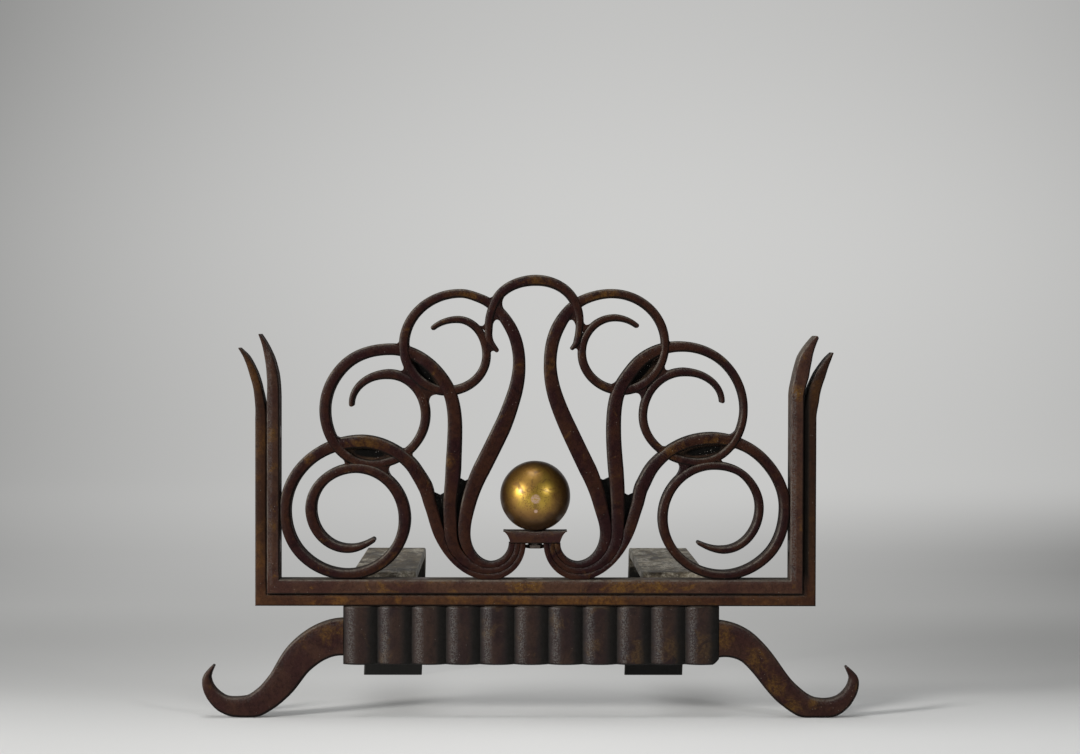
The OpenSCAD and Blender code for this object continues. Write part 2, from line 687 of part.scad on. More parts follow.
// Shanks only, for the bolts and their holes
module log_bolt_set(gap) {
    for (side = [-1, 1], k = [-1, 1])
        pin_along_y(side * log_apart / 2 - log_left + k * bolt_apart / 2, bolt_z,
            back_y - bolt_in, bolt_in + log_t + (gap > 0 ? past : 0), bolt_d + 2 * gap);
}
bolt_z = apron_low + apron_h / 2;
module frame_screws() {
    color([0.2, 0.15, 0.12]) on_screen() frame_screw_set(0);
}
module scroll_screws() {
    color([0.2, 0.15, 0.12]) on_screen() scroll_screw_set(0);
}
module post_rivets() {
    color([0.3, 0.18, 0.12]) on_screen() post_rivet_set(0);
}
module ring_rivets() {
    color([0.3, 0.18, 0.12]) on_screen() ring_rivet_set(0);
}
module lap_pins() {
    color([0.2, 0.15, 0.12]) on_screen() for (k = [0 : pinned - 1]) lap_pin(LAPS[k], 0);
}
module leg_pins() {
    color([0.2, 0.15, 0.12]) leg_pin_set(0);
}
module log_bar_bolts() {
    color([0.18, 0.16, 0.15]) {
        log_bolt_set(0);
        for (side = [-1, 1], k = [-1, 1])
            translate([side * log_apart / 2 - log_left + k * bolt_apart / 2,
                back_y + log_t, bolt_z])
                rotate([-90, 0, 0])
                    cylinder(d = bolt_head_w / cos(30), h = bolt_head_t, $fn = 6);
    }
}

inner_frame();
outer_frame();
left_swan_scroll();
right_swan_scroll();
left_middle_scroll();
right_middle_scroll();
left_lower_scroll();
right_lower_scroll();
top_arch();
left_inner_web();
left_outer_web();
right_inner_web();
right_outer_web();
left_upper_lens_web();
left_lower_lens_web();
right_upper_lens_web();
right_lower_lens_web();
ball_seat();
brass_ball();
ball_stud();
stud_washer();
stud_nut();
reeded_apron();
left_leg();
right_leg();
left_log_bar();
right_log_bar();
frame_screws();
scroll_screws();
post_rivets();
ring_rivets();
lap_pins();
leg_pins();
log_bar_bolts();
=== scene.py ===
"""Looks of a wrought-iron andiron: forged scrolls in a flared frame, a worn brass ball on a
seat, a reeded apron, curled legs and strap-iron log bars.

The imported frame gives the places. Bars are swept along the same knots as in the part's
source, with rounded, worn edges. The apron's ribs and the heads of screws, rivets and pins are
made by Geometry Nodes.
"""

from math import atan2, ceil, copysign, cos, hypot, pi, radians, sin, sqrt, tan

import bmesh
import bpy
from mathutils import Euler, Matrix, Vector, noise


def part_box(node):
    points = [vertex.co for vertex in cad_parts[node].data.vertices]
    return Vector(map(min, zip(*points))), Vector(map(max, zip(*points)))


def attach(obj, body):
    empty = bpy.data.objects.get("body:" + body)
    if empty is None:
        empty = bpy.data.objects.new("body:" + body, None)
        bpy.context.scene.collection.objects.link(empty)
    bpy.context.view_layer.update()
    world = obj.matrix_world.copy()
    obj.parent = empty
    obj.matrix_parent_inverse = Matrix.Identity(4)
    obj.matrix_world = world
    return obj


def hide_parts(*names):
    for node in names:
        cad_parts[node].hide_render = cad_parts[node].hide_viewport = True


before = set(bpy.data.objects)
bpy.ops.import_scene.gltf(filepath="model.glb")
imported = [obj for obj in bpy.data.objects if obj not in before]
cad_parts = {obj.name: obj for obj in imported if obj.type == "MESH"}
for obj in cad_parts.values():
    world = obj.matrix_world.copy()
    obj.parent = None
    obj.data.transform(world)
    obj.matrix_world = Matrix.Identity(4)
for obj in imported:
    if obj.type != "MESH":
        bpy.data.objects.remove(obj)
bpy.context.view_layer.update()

MM = 0.001
BODY = "root"


# ---- Sizes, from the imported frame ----

class Place:
    """Faces and middle of a node's box, in millimetres."""

    def __init__(self, node):
        low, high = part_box(node)
        self.x0, self.y0, self.z0 = (c / MM for c in low)
        self.x1, self.y1, self.z1 = (c / MM for c in high)
        self.mid_x = (self.x0 + self.x1) / 2
        self.mid_y = (self.y0 + self.y1) / 2
        self.mid_z = (self.z0 + self.z1) / 2


ball = Place("brass_ball")
seat = Place("ball_seat")
apron = Place("reeded_apron")
swan = Place("left_swan_scroll")
inner = Place("inner_frame")
outer = Place("outer_frame")
lower_left = Place("left_lower_scroll")
lower_right = Place("right_lower_scroll")
lower_volutes = (lower_left, lower_right)

screen_x = seat.mid_x                       # middle of the screen
base_top = min(v.z0 for v in lower_volutes)
left_in = lower_left.x0 - screen_x          # the lower volutes lie against the posts
right_in = lower_right.x1 - screen_x
bar_y, bar_back = swan.y0, swan.y1
seat_low = seat.z0
bundle_z = base_top - 0.4                   # the U-bends are filed this much flat


# ---- The bars' knots: [x, z, heading, width], as in the part's source ----

u_left = -41                                # lowest points of the U-bends
u_right = 39.5


def placed(knots):
    return [(x, base_top + z, heading, width) for x, z, heading, width in knots]


def start(seat_x, u_x, u_height, u_width):
    return [(seat_x, seat_low, 270, 5.5),
            (u_x, bundle_z + u_height, 180 if u_x < 0 else 0, u_width)]


left_swan = start(-21.5, u_left, 13.5, 4.5) + placed([
    (-65, 42.4, 91, 11), (-61.5, 67.9, 77, 13.5), (-49.5, 100.5, 63, 16),
    (-31.5, 137, 64.5, 16), (-20.5, 166, 72, 14), (-15, 198, 90, 11.5), (-23.5, 232, 120, 11),
    (-50.5, 257.5, 159, 8.5), (-69, 262.3, 180, 8), (-120.7, 214.7, 270, 9.2),
    (-81, 172.8, 0, 9), (-45, 205.5, 90, 8), (-71.5, 238.3, 180, 6.8), (-94, 230.6, 220, 4.6)
])
right_swan = start(20.5, u_right, 13.5, 4.5) + placed([
    (65, 42.6, 89, 10), (60, 68, 103, 12.5), (48.5, 100.5, 116, 16), (31, 137, 115, 15.5),
    (19, 166, 108.5, 14), (13.5, 198, 90, 11.5), (21, 232, 63, 12), (46, 257.5, 22, 9.5),
    (70, 262.4, 0, 8.4), (119, 216.3, 270, 7.2), (79.2, 173.7, 180, 9), (42.6, 208, 90, 7.5),
    (72.5, 240.2, 0, 6.8), (92.8, 233, -38, 4.4)
])
left_middle = start(-16.5, u_left, 9, 6.5) + placed([
    (-77.5, 42.3, 93, 11.5), (-78.1, 67.8, 89, 12.4), (-75.3, 100.8, 88, 14.4),
    (-73.9, 139.8, 90, 13.2), (-77, 165.8, 105, 12), (-90.5, 189.8, 131, 11.5),
    (-132.5, 210.9, 180, 10.8), (-175, 196.1, 224, 10.5), (-193, 155.1, 270, 10),
    (-150.5, 105.2, 0, 8), (-100.8, 150.8, 90, 8.6), (-135, 188, 180, 9.2),
    (-168.6, 160.2, 272, 4.6)
])
right_middle = start(15.5, u_right, 9, 6.5) + placed([
    (75.5, 42.7, 88, 11), (76, 68.2, 91, 12.8), (74.1, 101.2, 95, 13.9), (72, 137.7, 90, 13.3),
    (74.5, 166.2, 77, 12.5), (90.5, 194.2, 52, 12), (133, 214, 0, 9.8),
    (174.4, 197.8, 315, 7.6), (191.7, 156.4, 270, 6.4), (149.5, 107.8, 180, 8),
    (99, 150.2, 90, 7.2), (136.5, 190.6, 0, 8.1), (171.6, 163.8, 272, 4.2)
])
left_lower = start(-11.5, u_left, 3, 6.4) + placed([
    (-88, 41.8, 113, 10.4), (-96, 67.3, 109, 11.1), (-101.4, 85.3, 117, 13.1),
    (-110, 99.7, 122, 12.2), (-126.5, 115.7, 148, 11.5), (-160, 126.1, 180, 12),
    (left_in + 4.6, 62.5, 270, 10), (-213.3, 21.4, 315, 9.6), (-172.5, 4.1, 0, 9),
    (-119.8, 54.7, 90, 11.1), (-164.5, 101.8, 180, 8.9), (-205.8, 64.5, 270, 10.1),
    (-171, 27.7, 0, 7.6), (-148.5, 35.7, 33, 4.5)
])
right_lower = start(10.5, u_right, 3, 6.4) + placed([
    (85.3, 42.2, 67, 9.8), (93.6, 67.7, 72, 11), (98.5, 85.7, 63, 12.4), (106, 100.2, 57, 11.7),
    (118.5, 113.8, 40, 10.5), (162.5, 129.4, 0, 11.5),
    (209.6, 110.4, 315, 9.9), (right_in - 4.1, 66, 270, 9), (213.9, 21.5, 225, 8.6),
    (173, 3.6, 180, 8),
    (117.4, 56.3, 90, 8.8), (164, 104.5, 0, 7.4), (194.1, 93.8, 315, 7.1), (206.5, 66, 270, 7),
    (172.5, 26.8, 180, 6.5), (150.5, 33.1, 153, 3.5)
])
top_arch = placed([
    (-35.5, 210, 126, 4), (-42, 219, 112, 6.5), (-43, 232.5, 89, 7.5), (-38, 253, 68, 8.5),
    (0.5, 274.5, 0, 10), (36.5, 253.5, -66, 8.5), (40.5, 236, 270, 7), (38, 218.5, 253, 6),
    (33.5, 212, 225, 3.5)
])
BARS = {
    "left_swan_scroll": left_swan, "right_swan_scroll": right_swan,
    "left_middle_scroll": left_middle, "right_middle_scroll": right_middle,
    "left_lower_scroll": left_lower, "right_lower_scroll": right_lower,
    "top_arch": top_arch,
}
# Where bars cross: bar over, bar under, x, z, reach
CROSSINGS = [
    ("top_arch", "left_swan_scroll", -42, 237, 34), ("top_arch", "right_swan_scroll", 42, 237, 34),
    ("left_swan_scroll", "left_middle_scroll", -121, 212, 22),
    ("right_swan_scroll", "right_middle_scroll", 119, 215, 22),
    ("left_swan_scroll", "left_middle_scroll", -106, 180, 18),
    ("right_swan_scroll", "right_middle_scroll", 104, 182, 18),
    ("left_middle_scroll", "left_swan_scroll", -79, 176, 18),
    ("right_middle_scroll", "right_swan_scroll", 76, 177, 18),
    ("left_middle_scroll", "left_lower_scroll", -183, 125, 24),
    ("right_middle_scroll", "right_lower_scroll", 184, 128, 24),
    ("left_lower_scroll", "left_middle_scroll", -121, 117, 24),
    ("right_lower_scroll", "right_middle_scroll", 116, 116, 24),
    ("left_lower_scroll", "left_middle_scroll", -152, 104, 20),
    ("right_lower_scroll", "right_middle_scroll", 152, 106, 20),
]
# Bars that lie against each other in the U-bends, inner one first
BUNDLED = [
    ("left_swan_scroll", "left_middle_scroll"), ("left_middle_scroll", "left_lower_scroll"),
    ("right_swan_scroll", "right_middle_scroll"), ("right_middle_scroll", "right_lower_scroll"),
]
BUNDLE_TOP = base_top + 93
# Weld fills in the crotches between bars, read off the photograph: where the fill ends on the
# one bar and on the other, and the corner inside the bars
WELDS = [
    ((-52.1, 234.1), (-47.2, 237.6), (-44.9, 226.1)),
    ((-40.2, 232.2), (-31.3, 236.6), (-38.5, 248.1)),
    ((-41.4, 204.2), (-36.2, 207.9), (-44.0, 217.0)),
    ((-45.5, 258.7), (-39.7, 260.7), (-42.2, 254.9)),
    ((-27.8, 260.3), (-27.8, 247.6), (-36.7, 253.6)),
    ((-129.9, 216.1), (-124.4, 220.5), (-123.6, 213.0)),
    ((-116.2, 217.8), (-110.7, 210.9), (-119.9, 209.8)),
    ((-127.7, 191.4), (-119.3, 197.5), (-114.4, 185.6)),
    ((-97.5, 159.6), (-84.2, 169.2), (-106.2, 178.8)),
    ((-181.6, 131.7), (-173.9, 130.6), (-178.0, 125.6)),
    ((-124.5, 121.9), (-115.5, 124.2), (-119.4, 112.9)),
    ((-111.3, 117.2), (-109.8, 111.4), (-118.1, 113.4)),
    ((-187.1, 115.8), (-179.8, 113.9), (-183.9, 121.0)),
    ((-178.3, 105.6), (-176.0, 111.8), (-167.5, 103.6)),
    ((-129.5, 95.0), (-129.5, 106.5), (-146.9, 104.6)),
    ((51.0, 236.2), (43.7, 239.3), (41.1, 224.7)),
    ((31.1, 235.9), (37.3, 231.6), (36.3, 248.1)),
    ((34.4, 211.6), (38.8, 206.6), (41.5, 217.4)),
    ((43.0, 259.2), (36.0, 259.6), (38.3, 253.1)),
    ((121.5, 221.8), (128.7, 218.4), (119.7, 213.1)),
    ((127.5, 193.2), (119.2, 197.9), (111.5, 184.8)),
    ((65.1, 179.6), (73.1, 184.0), (70.3, 173.2)),
    ((96.8, 163.7), (84.5, 171.3), (103.7, 180.2)),
    ((79.7, 165.0), (85.6, 171.4), (76.3, 176.9)),
    ((113.4, 124.5), (124.1, 124.5), (118.5, 114.8)),
    ((176.0, 134.7), (183.6, 137.8), (181.0, 127.8)),
    ((128.2, 93.8), (130.1, 104.6), (142.1, 104.8)),
    ((174.6, 106.2), (174.4, 114.0), (160.9, 110.3)),
    ((187.5, 118.8), (180.1, 117.3), (184.7, 125.9)),
    ((118.2, 106.3), (122.0, 108.2), (117.4, 114.8)),
]
# Leaf-shaped pockets between overlapping bars: x, z, half length, half width, tilt
POCKETS = [
    (-97, 194, 25, 12, -42), (96, 195, 26, 12, 45), (-151, 118, 28, 12, -3),
    (148, 119, 29, 12, 6),
]
# The painted shade of a dark hollow in each pocket, written like the pockets
HOLLOWS = [
    (-102.3, 189.4, 16, 4.2, -48), (97.3, 191.4, 17, 5, 46), (-152.7, 115.7, 17, 4.2, -5),
    (154.9, 118.2, 19, 4.2, 8),
]


# ---- Sums ----

def share(value, low, high):
    """Where a value lies between two others, from 0 to 1."""
    return min(max((value - low) / (high - low), 0), 1)


def fade(distance, full, length):
    """1 up to the distance full, then smoothly down to 0 over length."""
    t = share(distance, full, full + length)
    return 1 - t * t * (3 - 2 * t)


def turn(a, b):
    """The way from one heading to another, -180 to 180 degrees."""
    return (b - a + 180) % 360 - 180


# ---- Curves through knots ----

MOST_TURN = 120         # a larger turn between two knots gets the handles of this one
ARC_TO_CHORD = 1.15     # about how much longer a bar is than straight lines between its knots


def reach(p, q, heading):
    """Length of the handle at a knot. Two knots of a circle are joined by that circle."""
    dx, dz = q[0] - p[0], q[1] - p[1]
    along = max(dx * cos(radians(heading)) + dz * sin(radians(heading)), hypot(dx, dz) / 2)
    t = min(abs(turn(p[2], q[2])), MOST_TURN)
    if t < 1:
        return along / 3
    return along * 4 / 3 * tan(radians(t / 4)) / sin(radians(t))


def spot(p, q, t):
    """(x, z, heading in radians, width) at t between two knots."""
    hp, hq = radians(p[2]), radians(q[2])
    rp, rq = reach(p, q, p[2]), reach(p, q, q[2])
    a = Vector((p[0], p[1]))
    b = a + Vector((cos(hp), sin(hp))) * rp
    d = Vector((q[0], q[1]))
    c = d - Vector((cos(hq), sin(hq))) * rq
    s = 1 - t
    o = a * s ** 3 + b * (3 * s * s * t) + c * (3 * s * t * t) + d * t ** 3
    v = (b - a) * s * s + (c - b) * (2 * s * t) + (d - c) * t * t
    return (o.x, o.y, atan2(v.y, v.x), p[3] * s + q[3] * t)


def track(knots, step):
    """Evenly spaced spots along the knots, in millimetres."""
    line = []
    for p, q in zip(knots, knots[1:]):
        n = max(3, ceil(hypot(q[0] - p[0], q[1] - p[1]) * ARC_TO_CHORD / step))
        line += [spot(p, q, j / n) for j in range(n)]
    line.append(spot(knots[-2], knots[-1], 1))
    return line


class Station:
    """One cross-section of a bar: its two edges in the drawing plane, and how far its front
    and its back are set in."""

    def __init__(self, left, right, front=0.0, back=0.0, worn=1.0):
        self.left = Vector(left)
        self.right = Vector(right)
        self.front = front
        self.back = back
        self.worn = worn

    @property
    def middle(self):
        return (self.left + self.right) / 2

    @property
    def width(self):
        return (self.right - self.left).length


def across(s):
    """The two edges of a bar at a spot."""
    x, z, heading, width = s
    n = Vector((-sin(heading), cos(heading))) * width / 2
    o = Vector((x, z))
    return o + n, o - n


def rounded_tip(s, way):
    """Stations that round off a bar's end. way is 1 at its last spot and -1 at its first."""
    x, z, heading, width = s
    steps = 5
    tip_angle = radians(84)             # just short of a point
    bulge = 0.42                        # length of the tip, as a share of the bar's width
    ends = []
    for k in range(1, steps + 1):
        a = tip_angle * k / steps
        d = sin(a) * width * bulge * way
        ends.append(Station(*across((x + cos(heading) * d, z + sin(heading) * d, heading,
                                     cos(a) * width))))
    return ends


def stations(knots, step=2.2, round_start=False, round_end=True):
    """Stations of a bar along its knots."""
    line = track(knots, step)
    out = [Station(*across(s)) for s in line]
    if round_end:
        out += rounded_tip(line[-1], 1)
    if round_start:
        out = rounded_tip(line[0], -1)[::-1] + out
    return out


# ---- Meshes ----

FLUSH = 0.2         # faces lie this much inside the CAD's, so that flush heads show
ARC = 4             # segments of a rounded edge
CROWN = 0.35        # how much higher the middle of a bar's front is than its sides
LIT_WAY = Vector((-0.45, 0.9))  # edges that face this way, towards the key lamp, get a painted highlight band in front
HIGHLIGHT = 0.40         # strength of that painted highlight band
HIGHLIGHT_REACH = 4.5    # its width at most


def rim(width, depth, radius):
    """Rounded rectangle with a slightly crowned front, as (across 0..width, along the depth
    0..depth, edge 0..1, side 0..1). edge is 1 in the middle of a rounded edge, and side is 1
    on the faces behind the front."""
    r = min(radius, width * 0.42, depth * 0.45)     # a thin bar still has flats
    points = []
    for cx, cy, first in ((r, r, 270), (r, depth - r, 180), (width - r, depth - r, 90),
                          (width - r, r, 0)):
        for k in range(ARC + 1):
            a = radians(first - 90 * k / ARC)
            u, v = cx + r * cos(a), cy + r * sin(a)
            points.append((u, v, sin(pi * k / ARC), share(v, r * 0.6, r * 0.6 + 1.5)))
    crown = min(CROWN, width * 0.03)
    flat = width - 2 * r
    points = [(u, v + (crown if v < r * 1.01 else 0), e, side) for u, v, e, side in points]
    points += [(r + flat * t, crown * (1 - 4 * t * (1 - t)), 0, 0) for t in (0.75, 0.5, 0.25)]
    return points


def swept(name, line, y0, y1, radius=1.7, plane="xz"):
    """Solid of one bar. y0 and y1 are its front and back. In plane "yz" the drawing plane is
    YZ and the depth runs along X. The rounded edges, the sides and a painted highlight band
    along the edge that faces the key lamp are kept for the materials."""
    verts, edge, sides, highlights, rings = [], [], [], [], []
    for s in line:
        axis = s.right - s.left
        width = max(axis.length, 0.05)
        axis = axis.normalized() if axis.length > 1e-6 else Vector((1, 0))
        lit = axis @ LIT_WAY
        ring = []
        for u, v, e, side in rim(width, (y1 - s.back) - (y0 + s.front), radius * s.worn):
            p = s.left + axis * u
            depth = y0 + s.front + v
            ring.append(len(verts))
            verts.append((p.x, depth, p.y) if plane == "xz" else (depth, p.x, p.y))
            edge.append(e * min(s.worn, 1) ** 3)
            sides.append(side)
            # a painted highlight band in front, along the edge that faces the key lamp
            from_lit = (u if lit < 0 else width - u) / min(HIGHLIGHT_REACH, width * 0.45)
            highlights.append(HIGHLIGHT * abs(lit) * max(1 - from_lit, 0) * (v < radius))
        rings.append(ring)
    n = len(rings[0])
    faces = []
    for a, b in zip(rings, rings[1:]):
        faces += [(a[i], a[(i + 1) % n], b[(i + 1) % n], b[i]) for i in range(n)]
    faces += [tuple(rings[0][::-1]), tuple(rings[-1])]
    mesh = bpy.data.meshes.new(name)
    mesh.from_pydata([Vector(v) * MM for v in verts], [], faces)
    painted(mesh, "rounded_edge", edge)
    painted(mesh, "side", sides)
    painted(mesh, "highlight_band", highlights)
    return tidy_mesh(mesh)


def painted(mesh, name, values):
    """Keeps one number a vertex for the materials."""
    mesh.attributes.new(name, "FLOAT", "POINT").data.foreach_set("value", values)


def tidy_mesh(mesh, angle=38):
    """Faces outwards, smooth up to an angle in degrees."""
    bm = bmesh.new()
    bm.from_mesh(mesh)
    bmesh.ops.recalc_face_normals(bm, faces=bm.faces)
    bm.to_mesh(mesh)
    bm.free()
    mesh.shade_smooth()
    mesh.set_sharp_from_angle(angle=radians(angle))
    return mesh


def piece(name, mesh, finish, slot, *nodes):
    """A finished piece that stands for CAD nodes."""
    mesh.materials.clear()
    mesh.materials.append(finish)
    obj = bpy.data.objects.new(name, mesh)
    bpy.context.scene.collection.objects.link(obj)
    obj = weighted(obj)
    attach(obj, BODY)
    if nodes:
        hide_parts(*nodes)
    return obj


def weighted(obj):
    """Shading follows the large faces, so that flats look flat beside their rounded edges."""
    flats = obj.modifiers.new("flats", "WEIGHTED_NORMAL")
    flats.keep_sharp = True
    flats.weight = 60
    return plain(obj)


def plain(obj):
    """Puts the evaluated mesh in the object's place and drops its modifiers."""
    bpy.context.view_layer.update()
    graph = bpy.context.evaluated_depsgraph_get()
    mesh = bpy.data.meshes.new_from_object(obj.evaluated_get(graph), depsgraph=graph)
    mesh.name = obj.name
    obj.modifiers.clear()
    obj.data = mesh
    return obj


# ---- Node trees ----

class Tree:
    """Short names for building a node tree. A value is a number or another node's output."""

    def __init__(self, tree):
        self.tree = tree

    def new(self, kind):
        return self.tree.nodes.new(kind)

    def link(self, source, target):
        self.tree.links.new(source, target)

    def set(self, socket, value):
        if hasattr(value, "is_linked"):
            self.link(value, socket)
        else:
            socket.default_value = value

    def math(self, kind, *values):
        node = self.new("ShaderNodeMath")
        node.operation = kind
        for socket, value in zip(node.inputs, values):
            self.set(socket, value)
        return node.outputs[0]

    def chain(self, kind, values):
        """Joins any number of values by the same sum, product or bound."""
        result = values[0]
        for value in values[1:]:
            result = self.math(kind, result, value)
        return result

    def plus(self, *values):
        return self.chain("ADD", values)

    def times(self, *values):
        return self.chain("MULTIPLY", values)

    def most(self, *values):
        return self.chain("MAXIMUM", values)

    def minus(self, a, b):
        return self.math("SUBTRACT", a, b)

    def over(self, a, b):
        return self.math("DIVIDE", a, b)


class Finish(Tree):
    """One material: patterns on Object coordinates, laid over each other as coats."""

    def __init__(self, name):
        self.material = bpy.data.materials.new(name)
        self.material.use_nodes = True
        super().__init__(self.material.node_tree)
        self.shader = self.tree.nodes["Principled BSDF"]
        self.place = self.new("ShaderNodeTexCoord").outputs["Object"]

    def stretched(self, scale):
        node = self.new("ShaderNodeMapping")
        node.inputs["Scale"].default_value = scale
        self.link(self.place, node.inputs["Vector"])
        return node.outputs[0]

    def noise(self, scale, detail=4, rough=0.6, place=None, warp=0.0):
        node = self.new("ShaderNodeTexNoise")
        self.link(place or self.place, node.inputs["Vector"])
        for key, number in (("Scale", scale), ("Detail", detail), ("Roughness", rough),
                            ("Distortion", warp)):
            node.inputs[key].default_value = number
        return node.outputs["Fac"]

    def pits(self, scale):
        node = self.new("ShaderNodeTexVoronoi")
        self.link(self.place, node.inputs["Vector"])
        node.inputs["Scale"].default_value = scale
        return node.outputs["Distance"]

    def span(self, value, low, high, to_low=0.0, to_high=1.0):
        """Maps low..high to to_low..to_high, smoothly and clamped."""
        node = self.new("ShaderNodeMapRange")
        node.interpolation_type = "SMOOTHSTEP"
        self.set(node.inputs["Value"], value)
        for key, number in (("From Min", low), ("From Max", high),
                            ("To Min", to_low), ("To Max", to_high)):
            node.inputs[key].default_value = number
        return node.outputs["Result"]

    def mix(self, amount, a, b):
        node = self.new("ShaderNodeMix")
        node.data_type = "RGBA"
        self.set(node.inputs["Factor"], amount)
        for key, colour in (("A", a), ("B", b)):
            self.set(node.inputs[key], colour + (1,) if isinstance(colour, tuple) else colour)
        return node.outputs["Result"]

    def coats(self, colour, *coats):
        """Lays coats (amount, colour) over a colour, one after another."""
        for amount, coat in coats:
            colour = self.mix(amount, colour, coat)
        return colour

    def attribute(self, name):
        node = self.new("ShaderNodeAttribute")
        node.attribute_name = name
        return node.outputs["Fac"]

    def axis(self, letter):
        node = self.new("ShaderNodeSeparateXYZ")
        self.link(self.place, node.inputs[0])
        return node.outputs[letter]

    def vector_math(self, kind, source, other=(0, 0, 0)):
        node = self.new("ShaderNodeVectorMath")
        node.operation = kind
        self.link(source, node.inputs[0])
        node.inputs[1].default_value = other
        return node.outputs["Value"]

    def from_point(self, x, y, z):
        """Distance in metres from a point given in millimetres."""
        return self.vector_math("DISTANCE", self.place, (x * MM, y * MM, z * MM))

    def around(self, x, z):
        """Distance in metres from a point of the front, given in millimetres."""
        return self.vector_math("DISTANCE", self.stretched((1, 0, 1)), (x * MM, 0, z * MM))

    def facing(self, x, y, z):
        """How far the surface faces a direction, -1 to 1."""
        normal = self.new("ShaderNodeNewGeometry").outputs["Normal"]
        return self.vector_math("DOT_PRODUCT", normal, (x, y, z))

    def specks(self, scale, size, clouds, low, high):
        """Small round specks, in groups where clouds of that scale lie above low."""
        return self.times(self.span(self.pits(scale), 0.0, size, 1.0, 0.0),
                          self.span(self.noise(clouds, 3, 0.6), low, high))

    def relief(self, height, strength, distance):
        node = self.new("ShaderNodeBump")
        node.inputs["Strength"].default_value = strength
        node.inputs["Distance"].default_value = distance
        self.link(height, node.inputs["Height"])
        self.link(node.outputs[0], self.shader.inputs["Normal"])

    def shade(self, **sockets):
        """Gives the shader's sockets their numbers or patterns. The keys are their names, with
        _ for a space."""
        for key, value in sockets.items():
            self.set(self.shader.inputs[key.replace("_", " ")], value)


# ---- Materials ----

# Painted shade on sides, in recesses and under edges; pale upper edges, worn and with a painted
# highlight; the painted highlight band; pale flecks and chips
SIDE_SHADE = (0.008, 0.0062, 0.005)
SHADE_BLACK = (0.006, 0.0055, 0.0045)
UNDER_SHADE = (0.007, 0.0052, 0.0044)
PALE_EDGE = (0.17, 0.152, 0.125)
HIGHLIGHT_GREY = (0.13, 0.125, 0.12)
FLECK = (0.30, 0.27, 0.23)
CHIP = (0.45, 0.42, 0.38)


def tinted(colour, share):
    """A darker or paler tone of a colour."""
    return tuple(c * share for c in colour)


def rust(m, streaks, amount, spots):
    """How rusty iron is, 0 to 1: patches all over and ragged larger ones at the spots
    (x, z, reach), all broken up into grains."""
    low = 0.66 - 0.16 * amount
    patches = m.noise(34, 4, 0.6, warp=1.0)
    rusty = m.times(m.span(patches, low, low + 0.1), 0.4 + 0.45 * amount)
    for x, z, far in spots:
        ragged = m.math("MULTIPLY_ADD", streaks, 3.6 * far * MM, m.around(x, z))
        rusty = m.most(rusty, m.span(ragged, 1.75 * far * MM, 2.7 * far * MM, 0.85, 0.0))
    return m.times(rusty, m.span(m.noise(420, 5, 0.75), 0.36, 0.58, 0.2, 1.0))


